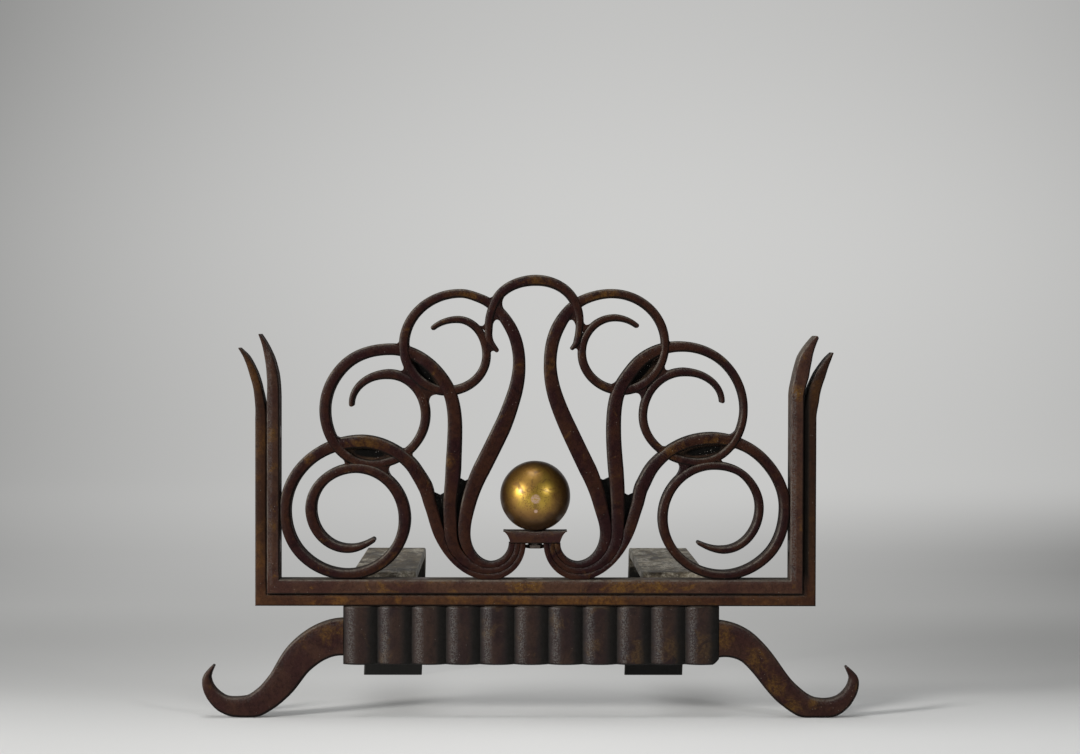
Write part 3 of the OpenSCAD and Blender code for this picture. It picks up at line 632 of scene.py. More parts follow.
def iron(name, dark, warm, ochre, ochre_amount=0.5, rough=0.40, edge_paleness=0.5, sheen=0.10,
         rust_spots=(), shades=(), lit_dust=(0.070, 0.064, 0.057)):
    """Patinated wrought iron: two browns in clouds, ochre rust patches, a painted highlight band
    along edges that face the key lamp, sides darkened by painted shade and paler by dust and
    painted light where they face up towards it, pale upper edges that are worn and carry a
    painted highlight, lower edges darkened by painted shade, small pale flecks, painted shade
    from the meshes, and a hammered, pitted skin. rust_spots are (x, z, reach) of larger
    patches, and shades are (x, z, reach, amount) of darker areas, in millimetres."""
    m = Finish(name)
    streaks = m.noise(75, 6, 0.72, warp=1.2)
    colour = m.coats(
        dark,
        (m.span(m.noise(26, 5, 0.6, warp=0.6), 0.38, 0.60), warm),
        (m.span(streaks, 0.5, 0.7, 0.0, 0.7), tinted(dark, 0.4)),
        (rust(m, streaks, ochre_amount, rust_spots), ochre),
        (m.span(m.noise(300, 5, 0.7), 0.45, 0.62, 0.0, 0.4), tinted(dark, 0.35)),
        (m.span(m.noise(850, 3, 0.7), 0.55, 0.68, 0.0, 0.35), tinted(dark, 2.6)),
        *[(m.span(m.around(x, z), 0.5 * far * MM, far * MM, amount, 0.0), tinted(dark, 0.25))
          for x, z, far, amount in shades])

    # up: how far a face turns up and to the left, towards the key lamp, -1 to 1
    up = m.facing(-0.35, 0, 0.9)
    # painted shade kept on the meshes: in the pockets, the rib valleys, the outer post's gap and
    # on the welds
    side, edge, painted_shade = m.attribute("side"), m.attribute("rounded_edge"), m.attribute("painted_shade")
    cover = m.noise(90, 4, 0.6)
    # painted highlight band along the edges that face the key lamp
    highlight = m.times(m.attribute("highlight_band"), m.span(m.noise(780, 3, 0.7), 0.42, 0.6))
    # painted shade on the sides, strongest where they face away from the key lamp
    shaded = m.times(side, m.span(up, 0.0, 0.5, 1.0, 0.15), m.span(cover, 0.3, 0.6, 0.85, 0.4))
    # paler sides where they face up towards the key lamp: dust and painted light
    dust_and_light = m.times(side, m.span(up, 0.1, 0.7, 0.0, 0.8), m.span(cover, 0.3, 0.65, 0.5, 1.0))
    # pale upper edges: wear, and a painted highlight where they face the key lamp; they are also
    # made more metallic
    pale_edges = m.times(m.span(edge, 0.25, 0.9),
                     m.span(m.noise(130, 6, 0.7), 0.36, 0.62, 0.15, 1.0),
                     m.span(up, -0.05, 0.5, 0.0, edge_paleness))
    # painted shade on edges that face down and away from the key lamp
    under = m.times(m.span(edge, 0.1, 0.7), m.span(up, -0.30, 0.05, 0.9, 0.0))
    flecks = m.times(m.specks(330, 0.16, 60, 0.52, 0.62), 0.7)
    colour = m.coats(colour, (highlight, HIGHLIGHT_GREY), (shaded, SIDE_SHADE), (dust_and_light, lit_dust), (pale_edges, PALE_EDGE),
                     (under, UNDER_SHADE), (flecks, FLECK), (painted_shade, SHADE_BLACK))

    gloss = m.span(m.noise(210, 4, 0.6), 0.3, 0.75, rough - 0.05, rough + 0.1)
    m.shade(Base_Color=colour, Metallic=m.times(pale_edges, 0.4), Specular_IOR_Level=sheen,
            Roughness=m.plus(gloss, m.times(m.most(painted_shade, side, under), 0.42)))
    dents, skin = m.noise(95, 3, 0.5), m.noise(700, 5, 0.75)
    m.relief(m.math("MULTIPLY_ADD", skin, 0.7, m.times(dents, 1.2)), 0.6, 0.0007)
    return m.material


def worn_strap():
    """Grey-brown log bar: worn bright on top, scratched lengthwise, darker towards the feet."""
    m = Finish("worn_strap_iron")
    height = m.axis("Z")
    dark_top, clean = 0.100, 0.122      # metres above the floor

    def lengthwise(scale, detail, rough, share, warp=0.0):
        """Noise drawn out along the bar."""
        return m.noise(scale, detail, rough, place=m.stretched((1.0, share, 1.0)), warp=warp)

    streaks = lengthwise(150, 5, 0.7, 0.25, warp=0.8)
    clouds = lengthwise(38, 5, 0.65, 0.8)
    paler_right = m.span(m.axis("X"), -0.05, 0.05, 0.0, 0.05)
    bare = m.span(m.plus(lengthwise(40, 6, 0.72, 0.6, warp=0.7), paler_right), 0.49, 0.64)
    fine = m.span(lengthwise(330, 5, 0.75, 0.45, warp=1.0), 0.42, 0.58, 0.25, 1.0)
    scratches = m.span(lengthwise(620, 3, 0.6, 0.05), 0.60, 0.70)
    pale_edges = m.times(m.span(m.attribute("rounded_edge"), 0.2, 1.0),
                     m.span(height, dark_top, clean, 0.1, 0.7))
    colour = m.coats(
        (0.060, 0.045, 0.027),
        (m.span(streaks, 0.38, 0.64), (0.155, 0.124, 0.080)),
        (m.span(clouds, 0.46, 0.60, 0.0, 0.85), (0.026, 0.0195, 0.0130)),
        (m.times(bare, fine, 0.95), (0.50, 0.455, 0.36)),
        (m.times(scratches, 0.35), (0.36, 0.335, 0.28)),
        (m.span(height, dark_top, clean, 1.0, 0.0), (0.0055, 0.005, 0.004)),
        (pale_edges, (0.17, 0.155, 0.125)))
    m.shade(Base_Color=colour, Metallic=0.15, Specular_IOR_Level=0.25,
            Roughness=m.span(streaks, 0.3, 0.7, 0.45, 0.65))
    m.relief(m.plus(streaks, m.noise(900, 3, 0.6)), 0.4, 0.0005)
    return m.material


def aged_brass():
    """Old brass, brighter in front and darkened towards its sides by painted shade: green-gold
    and brown clouds, a rosy lower part, a ring of small pits around a worn, pitted patch in the
    middle, and a small bare spot below it."""
    m = Finish("aged_brass")
    clouds = m.noise(42, 6, 0.6, warp=0.8)
    brown = m.span(m.noise(62, 6, 0.72, warp=1.0), 0.47, 0.64, 0.0, 0.85)
    rosy = m.span(m.axis("Z"), (ball.mid_z - 22) * MM, (ball.mid_z - 4) * MM, 0.55, 0.0)
    # painted shade: the brass darkens with distance from a point in front, through orange-brown to
    # dark brown at its sides
    from_front = m.from_point(ball.mid_x - 3, ball.y0, ball.mid_z + 7)
    ragged = m.math("MULTIPLY_ADD", m.noise(60, 5, 0.65), 0.014, from_front)
    rim_shade = m.span(ragged, 0.0265, 0.0435)

    centre = m.from_point(ball.mid_x + 0.1, ball.y0, ball.mid_z - 0.8)
    ring = m.times(m.span(centre, 0.0045, 0.007), m.span(centre, 0.010, 0.017, 1, 0))
    elsewhere = m.times(m.span(m.noise(110, 3, 0.6), 0.55, 0.62), 0.8)
    pitted = m.times(m.span(m.pits(620), 0.12, 0.42, 1.0, 0.0), m.most(elsewhere, ring))
    bare_spot = m.from_point(ball.mid_x + 0.3, ball.y0 + 2, ball.mid_z - 12.3)
    patch = m.most(m.times(m.span(centre, 0.0036, 0.0050, 1, 0),
                           m.span(m.noise(1000, 4, 0.7), 0.43, 0.51)),
                   m.span(bare_spot, 0.0014, 0.0022, 1, 0))
    colour = m.coats(
        (0.46, 0.30, 0.048),
        (m.span(clouds, 0.4, 0.62), (0.34, 0.195, 0.045)),
        (brown, (0.125, 0.066, 0.026)),
        (rosy, (0.27, 0.150, 0.075)),
        (m.span(ragged, 0.019, 0.034, 0.0, 0.65), (0.19, 0.088, 0.020)),
        (m.times(rim_shade, 0.92), (0.036, 0.0165, 0.0060)),
        (m.times(pitted, 0.65), (0.045, 0.024, 0.012)),
        (m.times(patch, 0.8), (0.44, 0.29, 0.225)))
    m.shade(Base_Color=colour, Specular_IOR_Level=0.2, Coat_Weight=0.2, Coat_Roughness=0.2,
            Metallic=m.minus(m.span(patch, 0.2, 1.0, 0.9, 0.2), m.times(rim_shade, 0.3)),
            Roughness=m.plus(m.span(clouds, 0.35, 0.7, 0.36, 0.48), m.times(brown, 0.12)))
    m.relief(m.minus(m.noise(60, 3, 0.5), m.times(pitted, 0.12)), 0.2, 0.001)
    return m.material


def soot_and_shade(name, colour):
    """Near-black iron for recesses, soot and painted shade, with a few pale specks."""
    m = Finish(name)
    shade = m.coats(
        colour,
        (m.span(m.noise(140, 5, 0.7), 0.4, 0.65), tinted(colour, 2.2)),
        (m.specks(520, 0.17, 90, 0.52, 0.62), CHIP))
    m.shade(Base_Color=shade, Specular_IOR_Level=0.12, Roughness=0.8)
    m.relief(m.noise(420, 5, 0.7), 0.8, 0.001)
    return m.material


def pocket_iron():
    """Weld and rust that half fill the leaf-shaped pockets, each with a dark hollow of painted
    shade.
    """
    m = Finish("pocket_iron")
    grain = m.noise(190, 5, 0.7)
    hollows = []
    for x, z, length, width, tilt in HOLLOWS:
        local = m.new("ShaderNodeMapping")
        local.vector_type = "TEXTURE"
        m.link(m.stretched((1, 0, 1)), local.inputs["Vector"])
        local.inputs["Location"].default_value = ((x + screen_x) * MM, 0, (z + base_top) * MM)
        local.inputs["Rotation"].default_value = (0, -radians(tilt), 0)
        local.inputs["Scale"].default_value = (length * MM, 1, width * MM)
        ragged = m.math("MULTIPLY_ADD", grain, 0.5, m.vector_math("LENGTH", local.outputs[0]))
        hollows.append(m.span(ragged, 0.95, 1.45, 1.0, 0.0))
    hollow = m.most(*hollows)
    colour = m.coats(
        (0.032, 0.0155, 0.0092),
        (m.span(m.noise(60, 5, 0.65), 0.4, 0.6), (0.050, 0.029, 0.0155)),
        (m.span(grain, 0.45, 0.62, 0.0, 0.6), (0.008, 0.0055, 0.004)),
        # painted shade in the hollow
        (hollow, (0.0022, 0.0019, 0.0015)),
        (m.specks(520, 0.2, 90, 0.50, 0.60), CHIP))
    m.shade(Base_Color=colour, Specular_IOR_Level=0.1, Roughness=m.span(hollow, 0, 1, 0.55, 0.9))
    m.relief(m.minus(grain, hollow), 0.8, 0.0012)
    return m.material


def steel(name):
    """Darkened fastener steel, ground flush."""
    m = Finish(name)
    colour = m.mix(m.span(m.noise(220, 4, 0.6), 0.4, 0.65), (0.05, 0.038, 0.032),
                   (0.10, 0.08, 0.066))
    m.shade(Base_Color=colour, Metallic=0.6,
            Roughness=m.span(m.noise(400, 3, 0.6), 0.3, 0.7, 0.35, 0.6))
    m.relief(m.noise(700, 3, 0.6), 0.4, 0.0004)
    return m.material


PURPLE = (0.0150, 0.0044, 0.0047)
BROWN = (0.0275, 0.0100, 0.0054)
OCHRE = (0.125, 0.060, 0.009)
# colour of dust and painted light on the inner frame's upward sides
LIT_DRY_DUST = (0.16, 0.15, 0.13)
# Larger rust patches: x, z, reach
SCROLL_RUST = (
    (-153, 258, 24), (-96, 246, 14), (-78, 238, 12), (-60, 387, 18), (66, 388, 20),
    (125, 250, 16), (-188, 146, 12), (-205, 240, 10), (60, 300, 12), (168, 255, 14), (5, 402, 19)
)
FRAME_RUST = (
    (0, 122, 15), (-12, 122, 14), (118, 122, 14), (82, 121, 22), (100, 120, 20),
    (-238, 262, 11), (-236, 232, 9), (243, 300, 10)
)
OUTER_RUST = (
    (-8, 110, 16), (30, 109, 18), (70, 109, 20), (-175, 109, 12), (-258, 318, 26),
    (-252, 255, 24), (262, 305, 20)
)
APRON_RUST = (
    (58, 66, 12), (100, 62, 20), (132, 64, 20), (160, 66, 20), (176, 96, 10), (20, 90, 14),
    (-40, 80, 9)
)
LEG_RUST = (
    (-188, 82, 18), (-176, 92, 12), (176, 76, 16), (206, 52, 16), (222, 30, 16),
    (240, 12, 12), (262, 14, 10)
)
scroll_iron = iron("scroll_iron", PURPLE, BROWN, (0.085, 0.040, 0.008), 0.4, edge_paleness=0.55,
                   sheen=0.06, rust_spots=SCROLL_RUST)
seat_iron = iron("seat_iron", (0.024, 0.0076, 0.0076), (0.040, 0.0162, 0.0076), OCHRE, 0.2,
                 edge_paleness=0.7)
frame_iron = iron("frame_iron", (0.036, 0.0142, 0.0100), (0.056, 0.0265, 0.0155), OCHRE, 0.5,
                  edge_paleness=0.6, rust_spots=FRAME_RUST, shades=((-236, 270, 150, 0.35),),
                  lit_dust=LIT_DRY_DUST)
# The darker area at x 255, on the right outer post, is painted shade from the inner post beside
# it.
outer_iron = iron("outer_frame_iron", (0.038, 0.0138, 0.0062), (0.060, 0.0250, 0.0094),
                  (0.115, 0.049, 0.009), 0.7, edge_paleness=0.35, rust_spots=OUTER_RUST,
                  shades=((-248, 260, 160, 0.55), (255, 260, 160, 0.65)))
apron_iron = iron("apron_iron", (0.0145, 0.0058, 0.0056), (0.0250, 0.0122, 0.0080),
                  (0.062, 0.034, 0.011), 0.4, rough=0.36, edge_paleness=0.35, sheen=0.2,
                  rust_spots=APRON_RUST)
leg_iron = iron("leg_iron", (0.025, 0.0090, 0.0078), (0.037, 0.0162, 0.0105),
                (0.095, 0.048, 0.010), 0.6, edge_paleness=0.4, rust_spots=LEG_RUST)
strap_iron = worn_strap()
brass = aged_brass()
pocket = pocket_iron()
recess_iron = soot_and_shade("recess_iron", (0.0028, 0.0026, 0.0021))
fastener_steel = steel("fastener_steel")


# ---- Scroll bars ----

DIP = 1.1           # how far a bar sinks where another passes over it
DIP_FADE = 6        # length over which it comes back up
MARGIN = 14         # how far around a crossing's reach the other bar is looked for
NEST_MARGIN = 20    # how far above a bundle's top the inner bar is looked for
NEST_GAP = 0.15     # gap between bars nested in a U-bend
NEST_CUT = 0.7      # most that nesting takes off a bar, as a share of its width
U_BEND_X = 130      # the U-bends lie within this distance from the middle
SHADE_FROM = 1.5    # depth at which the painted shade in the pockets begins


def nearest(line, point):
    return min(line, key=lambda s: (s.middle - point).length_squared)


def sink_at_crossings(lines):
    """The bar under a crossing sinks in front, and the bar over it sinks at the back."""
    for over, under, x, z, zone in CROSSINGS:
        heart = Vector((x, base_top + z))
        for low, high, side in ((under, over, "front"), (over, under, "back")):
            others = [s for s in lines[high] if (s.middle - heart).length < zone + MARGIN]
            for s in lines[low]:
                if (s.middle - heart).length > zone:
                    continue
                other = nearest(others, s.middle)
                gap = (s.middle - other.middle).length
                amount = DIP * fade(gap, (s.width + other.width) / 2, DIP_FADE)
                setattr(s, side, max(getattr(s, side), amount))


def trim_bundles(lines):
    """In the U-bends a bar ends where the bar nested inside it begins."""
    for inside, outside in BUNDLED:
        near = [s for s in lines[inside] if s.middle.y < BUNDLE_TOP + NEST_MARGIN]
        for s in lines[outside]:
            if s.middle.y > BUNDLE_TOP or abs(s.middle.x) > U_BEND_X:
                continue
            other = nearest(near, s.middle)
            away = (s.middle - other.middle).normalized()
            outer_edge = max((other.left, other.right), key=lambda e: (e - other.middle) @ away)
            limit = (outer_edge - other.middle) @ away + NEST_GAP
            for name in ("left", "right"):
                edge = getattr(s, name)
                overlap = limit - (edge - other.middle) @ away
                if overlap > 0 and (edge - s.middle) @ away < 0:
                    setattr(s, name, edge + away * min(overlap, s.width * NEST_CUT))


def sharpen_bundles(lines):
    """Where bars lie against each other in the U-bends, their edges are less round."""
    for line in lines.values():
        for s in line:
            if abs(s.middle.x) < 100:
                s.worn = 0.5 + 0.5 * share(s.middle.y - base_top, 40, 70)


def in_pocket(x, z):
    """How deep a point lies in the nearest pocket, 0 to 1."""
    rim_share = 0.25                    # the soot fades out over this share of a pocket's size
    depth = 0
    for px, pz, length, width, tilt in POCKETS:
        dx, dz = x - px, z - base_top - pz
        c, s = cos(radians(tilt)), sin(radians(tilt))
        out = hypot((dx * c + dz * s) / length, (dz * c - dx * s) / width)
        depth = max(depth, 1 - max(out - 1, 0) / rim_share)
    return min(depth, 1)


def make_scrolls():
    lines = {name: stations(knots, round_start=name == "top_arch")
             for name, knots in BARS.items()}
    trim_bundles(lines)
    sink_at_crossings(lines)
    sharpen_bundles(lines)
    for name, line in lines.items():
        for s in line:
            for edge in (s.left, s.right):
                edge.x = min(max(edge.x, left_in), right_in) + screen_x
                edge.y = max(edge.y, base_top)
        mesh = swept(name + "_forged", line, bar_y, bar_back - FLUSH, radius=2.3)
        # painted shade on the faces behind the front, deep in the pockets
        painted_shade = []
        for v in mesh.vertices:
            x, y, z = v.co / MM
            deep = share(y - bar_y, SHADE_FROM, 2 * SHADE_FROM)
            painted_shade.append(0.9 * deep * in_pocket(x - screen_x, z))
        painted(mesh, "painted_shade", painted_shade)
        piece(name + "_forged", mesh, scroll_iron, "scroll_iron", name)


def on_bar(point, line):
    """The point drawn onto the edge of the nearest bar, 0.3 mm inside it."""
    s = min(line, key=lambda s: (s.middle - point).length - s.width / 2)
    return s.middle + (point - s.middle).normalized() * (s.width / 2 - 0.3)


def weld_outline(a, b, corner):
    """A fill's outline: a hollow curve between its ends, and short sides along the bars."""
    pull = ((a + b) / 2).lerp(corner, 0.55)
    steps = 8
    curve = []
    for k in range(steps + 1):
        t = k / steps
        curve.append(a * (1 - t) ** 2 + pull * (2 * t * (1 - t)) + b * t * t)
    return [corner.lerp(a, 0.6)] + curve + [corner.lerp(b, 0.6), corner]


def make_welds():
    """Small hollow fills of weld in the crotches between bars, darkened a little by painted shade.
    """
    line = [s for knots in BARS.values() for s in stations(knots)]
    for s in line:
        s.left.y -= base_top
        s.right.y -= base_top
    # depth, and how far the outline is drawn in towards the corner
    levels = ((bar_y + 1.4, 0.25), (bar_y + 2.6, 0), (bar_back - 2.2, 0))
    bm = bmesh.new()
    painted_shade = bm.verts.layers.float.new("painted_shade")
    for a, b, corner in WELDS:
        corner = Vector(corner)
        outline = weld_outline(on_bar(Vector(a), line), on_bar(Vector(b), line), corner)
        rings = []
        for y, shrink in levels:
            rings.append([])
            for q in outline:
                w = q.lerp(corner, shrink)
                v = bm.verts.new(Vector((w.x + screen_x, y, base_top + w.y)) * MM)
                # a little painted shade all over the fills, in the crotches
                v[painted_shade] = 0.22
                rings[-1].append(v)
        n = len(outline)
        for low, high in zip(rings, rings[1:]):
            for i in range(n):
                bm.faces.new((low[i], low[(i + 1) % n], high[(i + 1) % n], high[i]))
        bm.faces.new(rings[0][::-1])
        bm.faces.new(rings[-1])
    mesh = bpy.data.meshes.new("crotch_welds")
    bm.to_mesh(mesh)
    bm.free()
    piece("crotch_welds", tidy_mesh(mesh), scroll_iron, "scroll_iron")


make_scrolls()
make_welds()


# ---- Frames ----

def flared_u(left_x, right_x, low, high, flares, widths, from_z):
    """Stations of a U: down the left post, along the base and up the right post. left_x and
    right_x are the posts' inner faces, widths their widths, and low and high the base bar's
    bottom and top. The posts are straight up to from_z, and the flares' knots follow as
    (outwards, up from flare_z, lean, width)."""
    left_w, right_w = widths

    def flare(x, side, points, width):
        knots = [(x, from_z - 40, 90, width), (x, from_z, 90, width)]
        for out, up, lean, w in points:
            knots.append((x + side * out, flare_z + up, 90 - side * lean, w))
        return stations(knots)

    left = flare(left_x - left_w / 2, -1, flares[0], left_w)
    right = flare(right_x + right_w / 2, 1, flares[1], right_w)
    line = [Station(s.right, s.left) for s in reversed(left)]
    line += [Station((left_x, high), (left_x - left_w, low), worn=1.3),
             Station((right_x, high), (right_x + right_w, low), worn=1.3)]
    line += [Station(s.left, s.right) for s in right]
    for s in line:
        inward = (s.right - s.left).normalized() * FLUSH
        s.left += inward + Vector((screen_x, 0))
        s.right += Vector((screen_x, 0)) - inward
    return densified(line)


def densified(line, step=12):
    """Adds stations on long straights."""
    out = []
    for a, b in zip(line, line[1:]):
        n = max(1, ceil((a.middle - b.middle).length / step))
        out += [Station(a.left.lerp(b.left, k / n), a.right.lerp(b.right, k / n),
                        worn=a.worn + (b.worn - a.worn) * k / n) for k in range(n)]
    return out + [line[-1]]


flare_z = base_top + 167
outer_drop = 18                     # the outer flares begin this much lower
inner_posts = (12, 12.5)            # widths of the left and the right post
outer_posts = (11, 12)
highlight_width = 4.6                      # width of the speckled painted highlight band on an inner post
base_low = inner.z0
inner_flares = (
    [(1, 21, 8, 10.5), (4, 36, 16, 8), (12.5, 57, 30, 2)],
    [(4, 21, 12, 14), (7.5, 36, 17, 12.5), (17, 55, 33, 5)],
)
outer_flares = (
    [(3, 6.5, 10, 8), (7, 21, 19, 7.5), (13.5, 36, 29, 5), (20, 44.5, 38, 1.5)],
    [(1.9, -2, 8, 13.2), (9.2, 21, 24, 10.4), (17, 36, 32, 5.2), (20.3, 41, 35, 2)],
)


def highlight_posts(mesh):
    """The inner posts get a speckled painted highlight band along their left edges, in front,
    where the key lamp strikes them.
    """
    for edge_x, strength in ((left_in - inner_posts[0], 0.22), (right_in, 0.42)):
        for v, highlight in zip(mesh.vertices, mesh.attributes["highlight_band"].data):
            x, y, z = v.co / MM
            if 0 <= x - screen_x - edge_x < highlight_width and z > base_top and y < inner.y1 - 3:
                highlight.value = strength


def gap_shadow(mesh):
    """Painted shadow on the right outer post, where the inner post shades it."""
    gap_x = screen_x + right_in + inner_posts[1]
    painted_shade = []
    for v in mesh.vertices:
        x, _, z = v.co / MM
        beside = x > gap_x and z > base_top + 4
        painted_shade.append(0.9 * fade(x - gap_x, 3.5, 3) if beside else 0)
    painted(mesh, "painted_shade", painted_shade)


def make_frames():
    line = flared_u(left_in, right_in, base_low, base_top, inner_flares, inner_posts, flare_z)
    mesh = swept("inner_frame_forged", line, inner.y0, inner.y1, radius=1.9)
    highlight_posts(mesh)
    piece("inner_frame_forged", mesh, frame_iron, "frame_iron", "inner_frame")
    line = flared_u(left_in - inner_posts[0], right_in + inner_posts[1], outer.z0, base_low,
                    outer_flares, outer_posts, flare_z - outer_drop)
    mesh = swept("outer_frame_forged", line, outer.y0, outer.y1)
    gap_shadow(mesh)
    piece("outer_frame_forged", mesh, outer_iron, "frame_iron", "outer_frame")


make_frames()


# ---- Seat and ball ----

def make_seat():
    """Forged seat: hollow sides that end in two horns, and a dish that the ball sits in."""
    half = (seat.x1 - seat.x0) / 2
    foot = 23.3                         # half width at the underside
    thinnest = 0.6
    out = half - foot
    r = (out * out + (seat.z1 - seat.z0) ** 2) / (2 * out)      # of the hollow sides
    ball_r = (ball.x1 - ball.x0) / 2
    line = []
    steps = 44
    for k in range(steps + 1):
        x = -half + 2 * half * k / steps
        low, high = seat.z0, seat.z1
        if abs(x) > foot:
            low += sqrt(max(r * r - (foot + r - abs(x)) ** 2, 0))
        if abs(x) < ball_r:
            high = min(high, ball.mid_z - sqrt(ball_r ** 2 - x * x))
        line.append(Station((screen_x + x, high), (screen_x + x, min(low, seat.z1 - thinnest))))
    mesh = swept("ball_seat_forged", line, seat.y0, seat.y1, radius=1.3)
    piece("ball_seat_forged", mesh, seat_iron, "scroll_iron", "ball_seat")


def make_ball():
    """Turned ball with slight dents."""
    r = (ball.x1 - ball.x0) / 2
    centre = Vector((ball.mid_x, ball.mid_y, ball.mid_z))
    inset = 0.2                         # so that the bulges between dents stay inside the CAD's
    bm = bmesh.new()
    bmesh.ops.create_uvsphere(bm, u_segments=128, v_segments=80, radius=r)
    for v in bm.verts:
        dent = noise.noise(v.co * 0.07) * 0.16 + noise.noise(v.co * 0.25) * 0.05
        v.co = (v.co * (1 + (dent - inset) / r) + centre) * MM
    mesh = bpy.data.meshes.new("brass_ball_turned")
    bm.to_mesh(mesh)
    bm.free()
    piece("brass_ball_turned", tidy_mesh(mesh), brass, "aged_brass", "brass_ball")


make_seat()
make_ball()


# ---- Apron: ribs by Geometry Nodes ----

class Geometry(Tree):
    """One Geometry Nodes tree with named inputs."""

    def __init__(self, name, inputs):
        super().__init__(bpy.data.node_groups.new(name, "GeometryNodeTree"))
        self.values = inputs
        self.socket("Mesh", "Geometry", "INPUT")
        for key in inputs:
            self.socket(key, "Float", "INPUT")
        self.socket("Mesh", "Geometry", "OUTPUT")
        self.input = self.new("NodeGroupInput")
        self.output = self.new("NodeGroupOutput")

    def socket(self, name, kind, way):
        self.tree.interface.new_socket(name, in_out=way, socket_type="NodeSocket" + kind)

    def size(self, key):
        return self.input.outputs[key]

    def add(self, kind, **sockets):
        node = self.new(kind)
        for key, value in sockets.items():
            self.set(node.inputs[key.replace("_", " ")], value)
        return node

    def split(self, vector):
        return self.add("ShaderNodeSeparateXYZ", Vector=vector).outputs

    def join(self, x, y, z):
        return self.add("ShaderNodeCombineXYZ", X=x, Y=y, Z=z).outputs[0]

    def position(self):
        return self.split(self.add("GeometryNodeInputPosition").outputs[0])

    def arc_drop(self, radius, off):
        """How far a circle lies below its top, at an offset from its middle."""
        level = self.minus(self.times(radius, radius), self.times(off, off))
        return self.minus(radius, self.math("SQRT", level))

    def finish(self, geometry, material):
        """Realize Instances and Set Material, then the group's output."""
        real = self.add("GeometryNodeRealizeInstances", Geometry=geometry)
        paint = self.add("GeometryNodeSetMaterial", Geometry=real.outputs[0], Material=material)
        self.link(paint.outputs[0], self.output.inputs[0])

    def made(self, name, mesh=None):
        """Runs the tree on an object and returns the object with the plain result."""
        obj = bpy.data.objects.new(name, mesh or bpy.data.meshes.new(name))
        bpy.context.scene.collection.objects.link(obj)
        mod = obj.modifiers.new("build", "NODES")
        mod.node_group = self.tree
        for item in self.tree.interface.items_tree:
            if item.in_out == "INPUT" and item.name in self.values:
                mod[item.identifier] = float(self.values[item.name])
        return plain(obj)


def make_apron():
    """One subdivided block, whose front is moved out into reeds, whose upper and lower edges
    are rounded, and whose lower right corner is cut off."""
    ribs = 11
    per_rib = 16
    g = Geometry("reeded_apron", {
        "Width": (apron.x1 - apron.x0) * MM, "Depth": (apron.y1 - apron.y0 - FLUSH) * MM,
        "Height": (apron.z1 - apron.z0) * MM, "Ribs": ribs, "Bulge": 5.5 * MM,
        "Edge": 1.6 * MM, "Corner": 5 * MM,
    })
    width, depth, height = g.size("Width"), g.size("Depth"), g.size("Height")
    edge, bulge = g.size("Edge"), g.size("Bulge")
    block = g.add("GeometryNodeMeshCube", Vertices_X=ribs * per_rib + 1, Vertices_Y=9,
                  Vertices_Z=41, Size=g.join(width, depth, height))
    x, y, z = g.position()
    # how far the front lies behind a rib's crest
    rib_w = g.over(width, g.size("Ribs"))
    along = g.over(g.plus(x, g.times(width, 0.5)), rib_w)
    off = g.times(g.minus(g.math("FRACT", along), 0.5), rib_w)
    half = g.times(rib_w, 0.5)
    radius = g.over(g.plus(g.times(half, half), g.times(bulge, bulge)), g.times(bulge, 2.0))
    # rounded upper and lower edges
    inset = g.minus(g.times(height, 0.5), g.math("ABSOLUTE", z))
    left = g.minus(edge, g.math("MINIMUM", inset, edge))
    back = g.plus(g.arc_drop(radius, off), g.arc_drop(edge, left))
    # only the front half moves, most at the front
    in_front = g.math("GREATER_THAN", g.times(y, -1.0), 0.0)
    push = g.times(in_front, g.over(g.times(y, -2.0), depth), back)
    # corner cut off at the lower right
    end = g.minus(g.times(width, 0.5), x)
    floor = g.minus(g.plus(g.times(height, -0.5), g.size("Corner")), end)
    moved = g.add("GeometryNodeSetPosition", Geometry=block.outputs["Mesh"],
                  Position=g.join(x, g.plus(y, push), g.most(z, floor)))
    smooth = g.add("GeometryNodeSetShadeSmooth", Geometry=moved.outputs[0])
    g.finish(smooth.outputs[0], apron_iron)
    obj = g.made("reeded_apron_forged")
    obj.data.transform(shift_to(apron))
    paint_rib_light(obj.data, ribs)
    tidy_mesh(obj.data, 48)
    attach(obj, BODY)
    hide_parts("reeded_apron")


def shift_to(place):
    """From the origin to a node's place, with the back FLUSH inside the node's."""
    return Matrix.Translation(Vector((place.mid_x, place.mid_y - FLUSH / 2, place.mid_z)) * MM)


def paint_rib_light(mesh, ribs):
    """Marks the apron's rounded upper and lower edges, a painted highlight band left of each rib's
    crest, and painted shade in the valleys, which reaches further up the ribs' right sides, away
    from the key lamp."""
    rib_w = (apron.x1 - apron.x0) / ribs
    edge_h = 2.5
    reeds_y = apron.y0 + 7              # the valleys lie in front of this
    edges, painted_shade, highlights = [], [], []
    for v in mesh.vertices:
        x, y, z = v.co / MM
        edges.append(max(1 - min(z - apron.z0, apron.z1 - z) / edge_h, 0))
        t = (x - apron.x0) / rib_w % 1
        reeded = y <= reeds_y
        # painted shade in the valleys and up the ribs' right sides, and a painted highlight band
        # left of each crest
        shaded = max(fade(t, 0.02, 0.08), 1 - fade(t, 0.60, 0.26))
        highlight = (1 - fade(t, 0.08, 0.10)) * fade(t, 0.20, 0.20)
        painted_shade.append(0.95 * shaded * reeded)
        highlights.append(0.5 * highlight * reeded)
    painted(mesh, "rounded_edge", edges)
    painted(mesh, "painted_shade", painted_shade)
    painted(mesh, "highlight_band", highlights)


make_apron()


# ---- Legs ----

leg_depth = 14
leg_at = apron.z0 + 25              # height at which the legs leave the apron
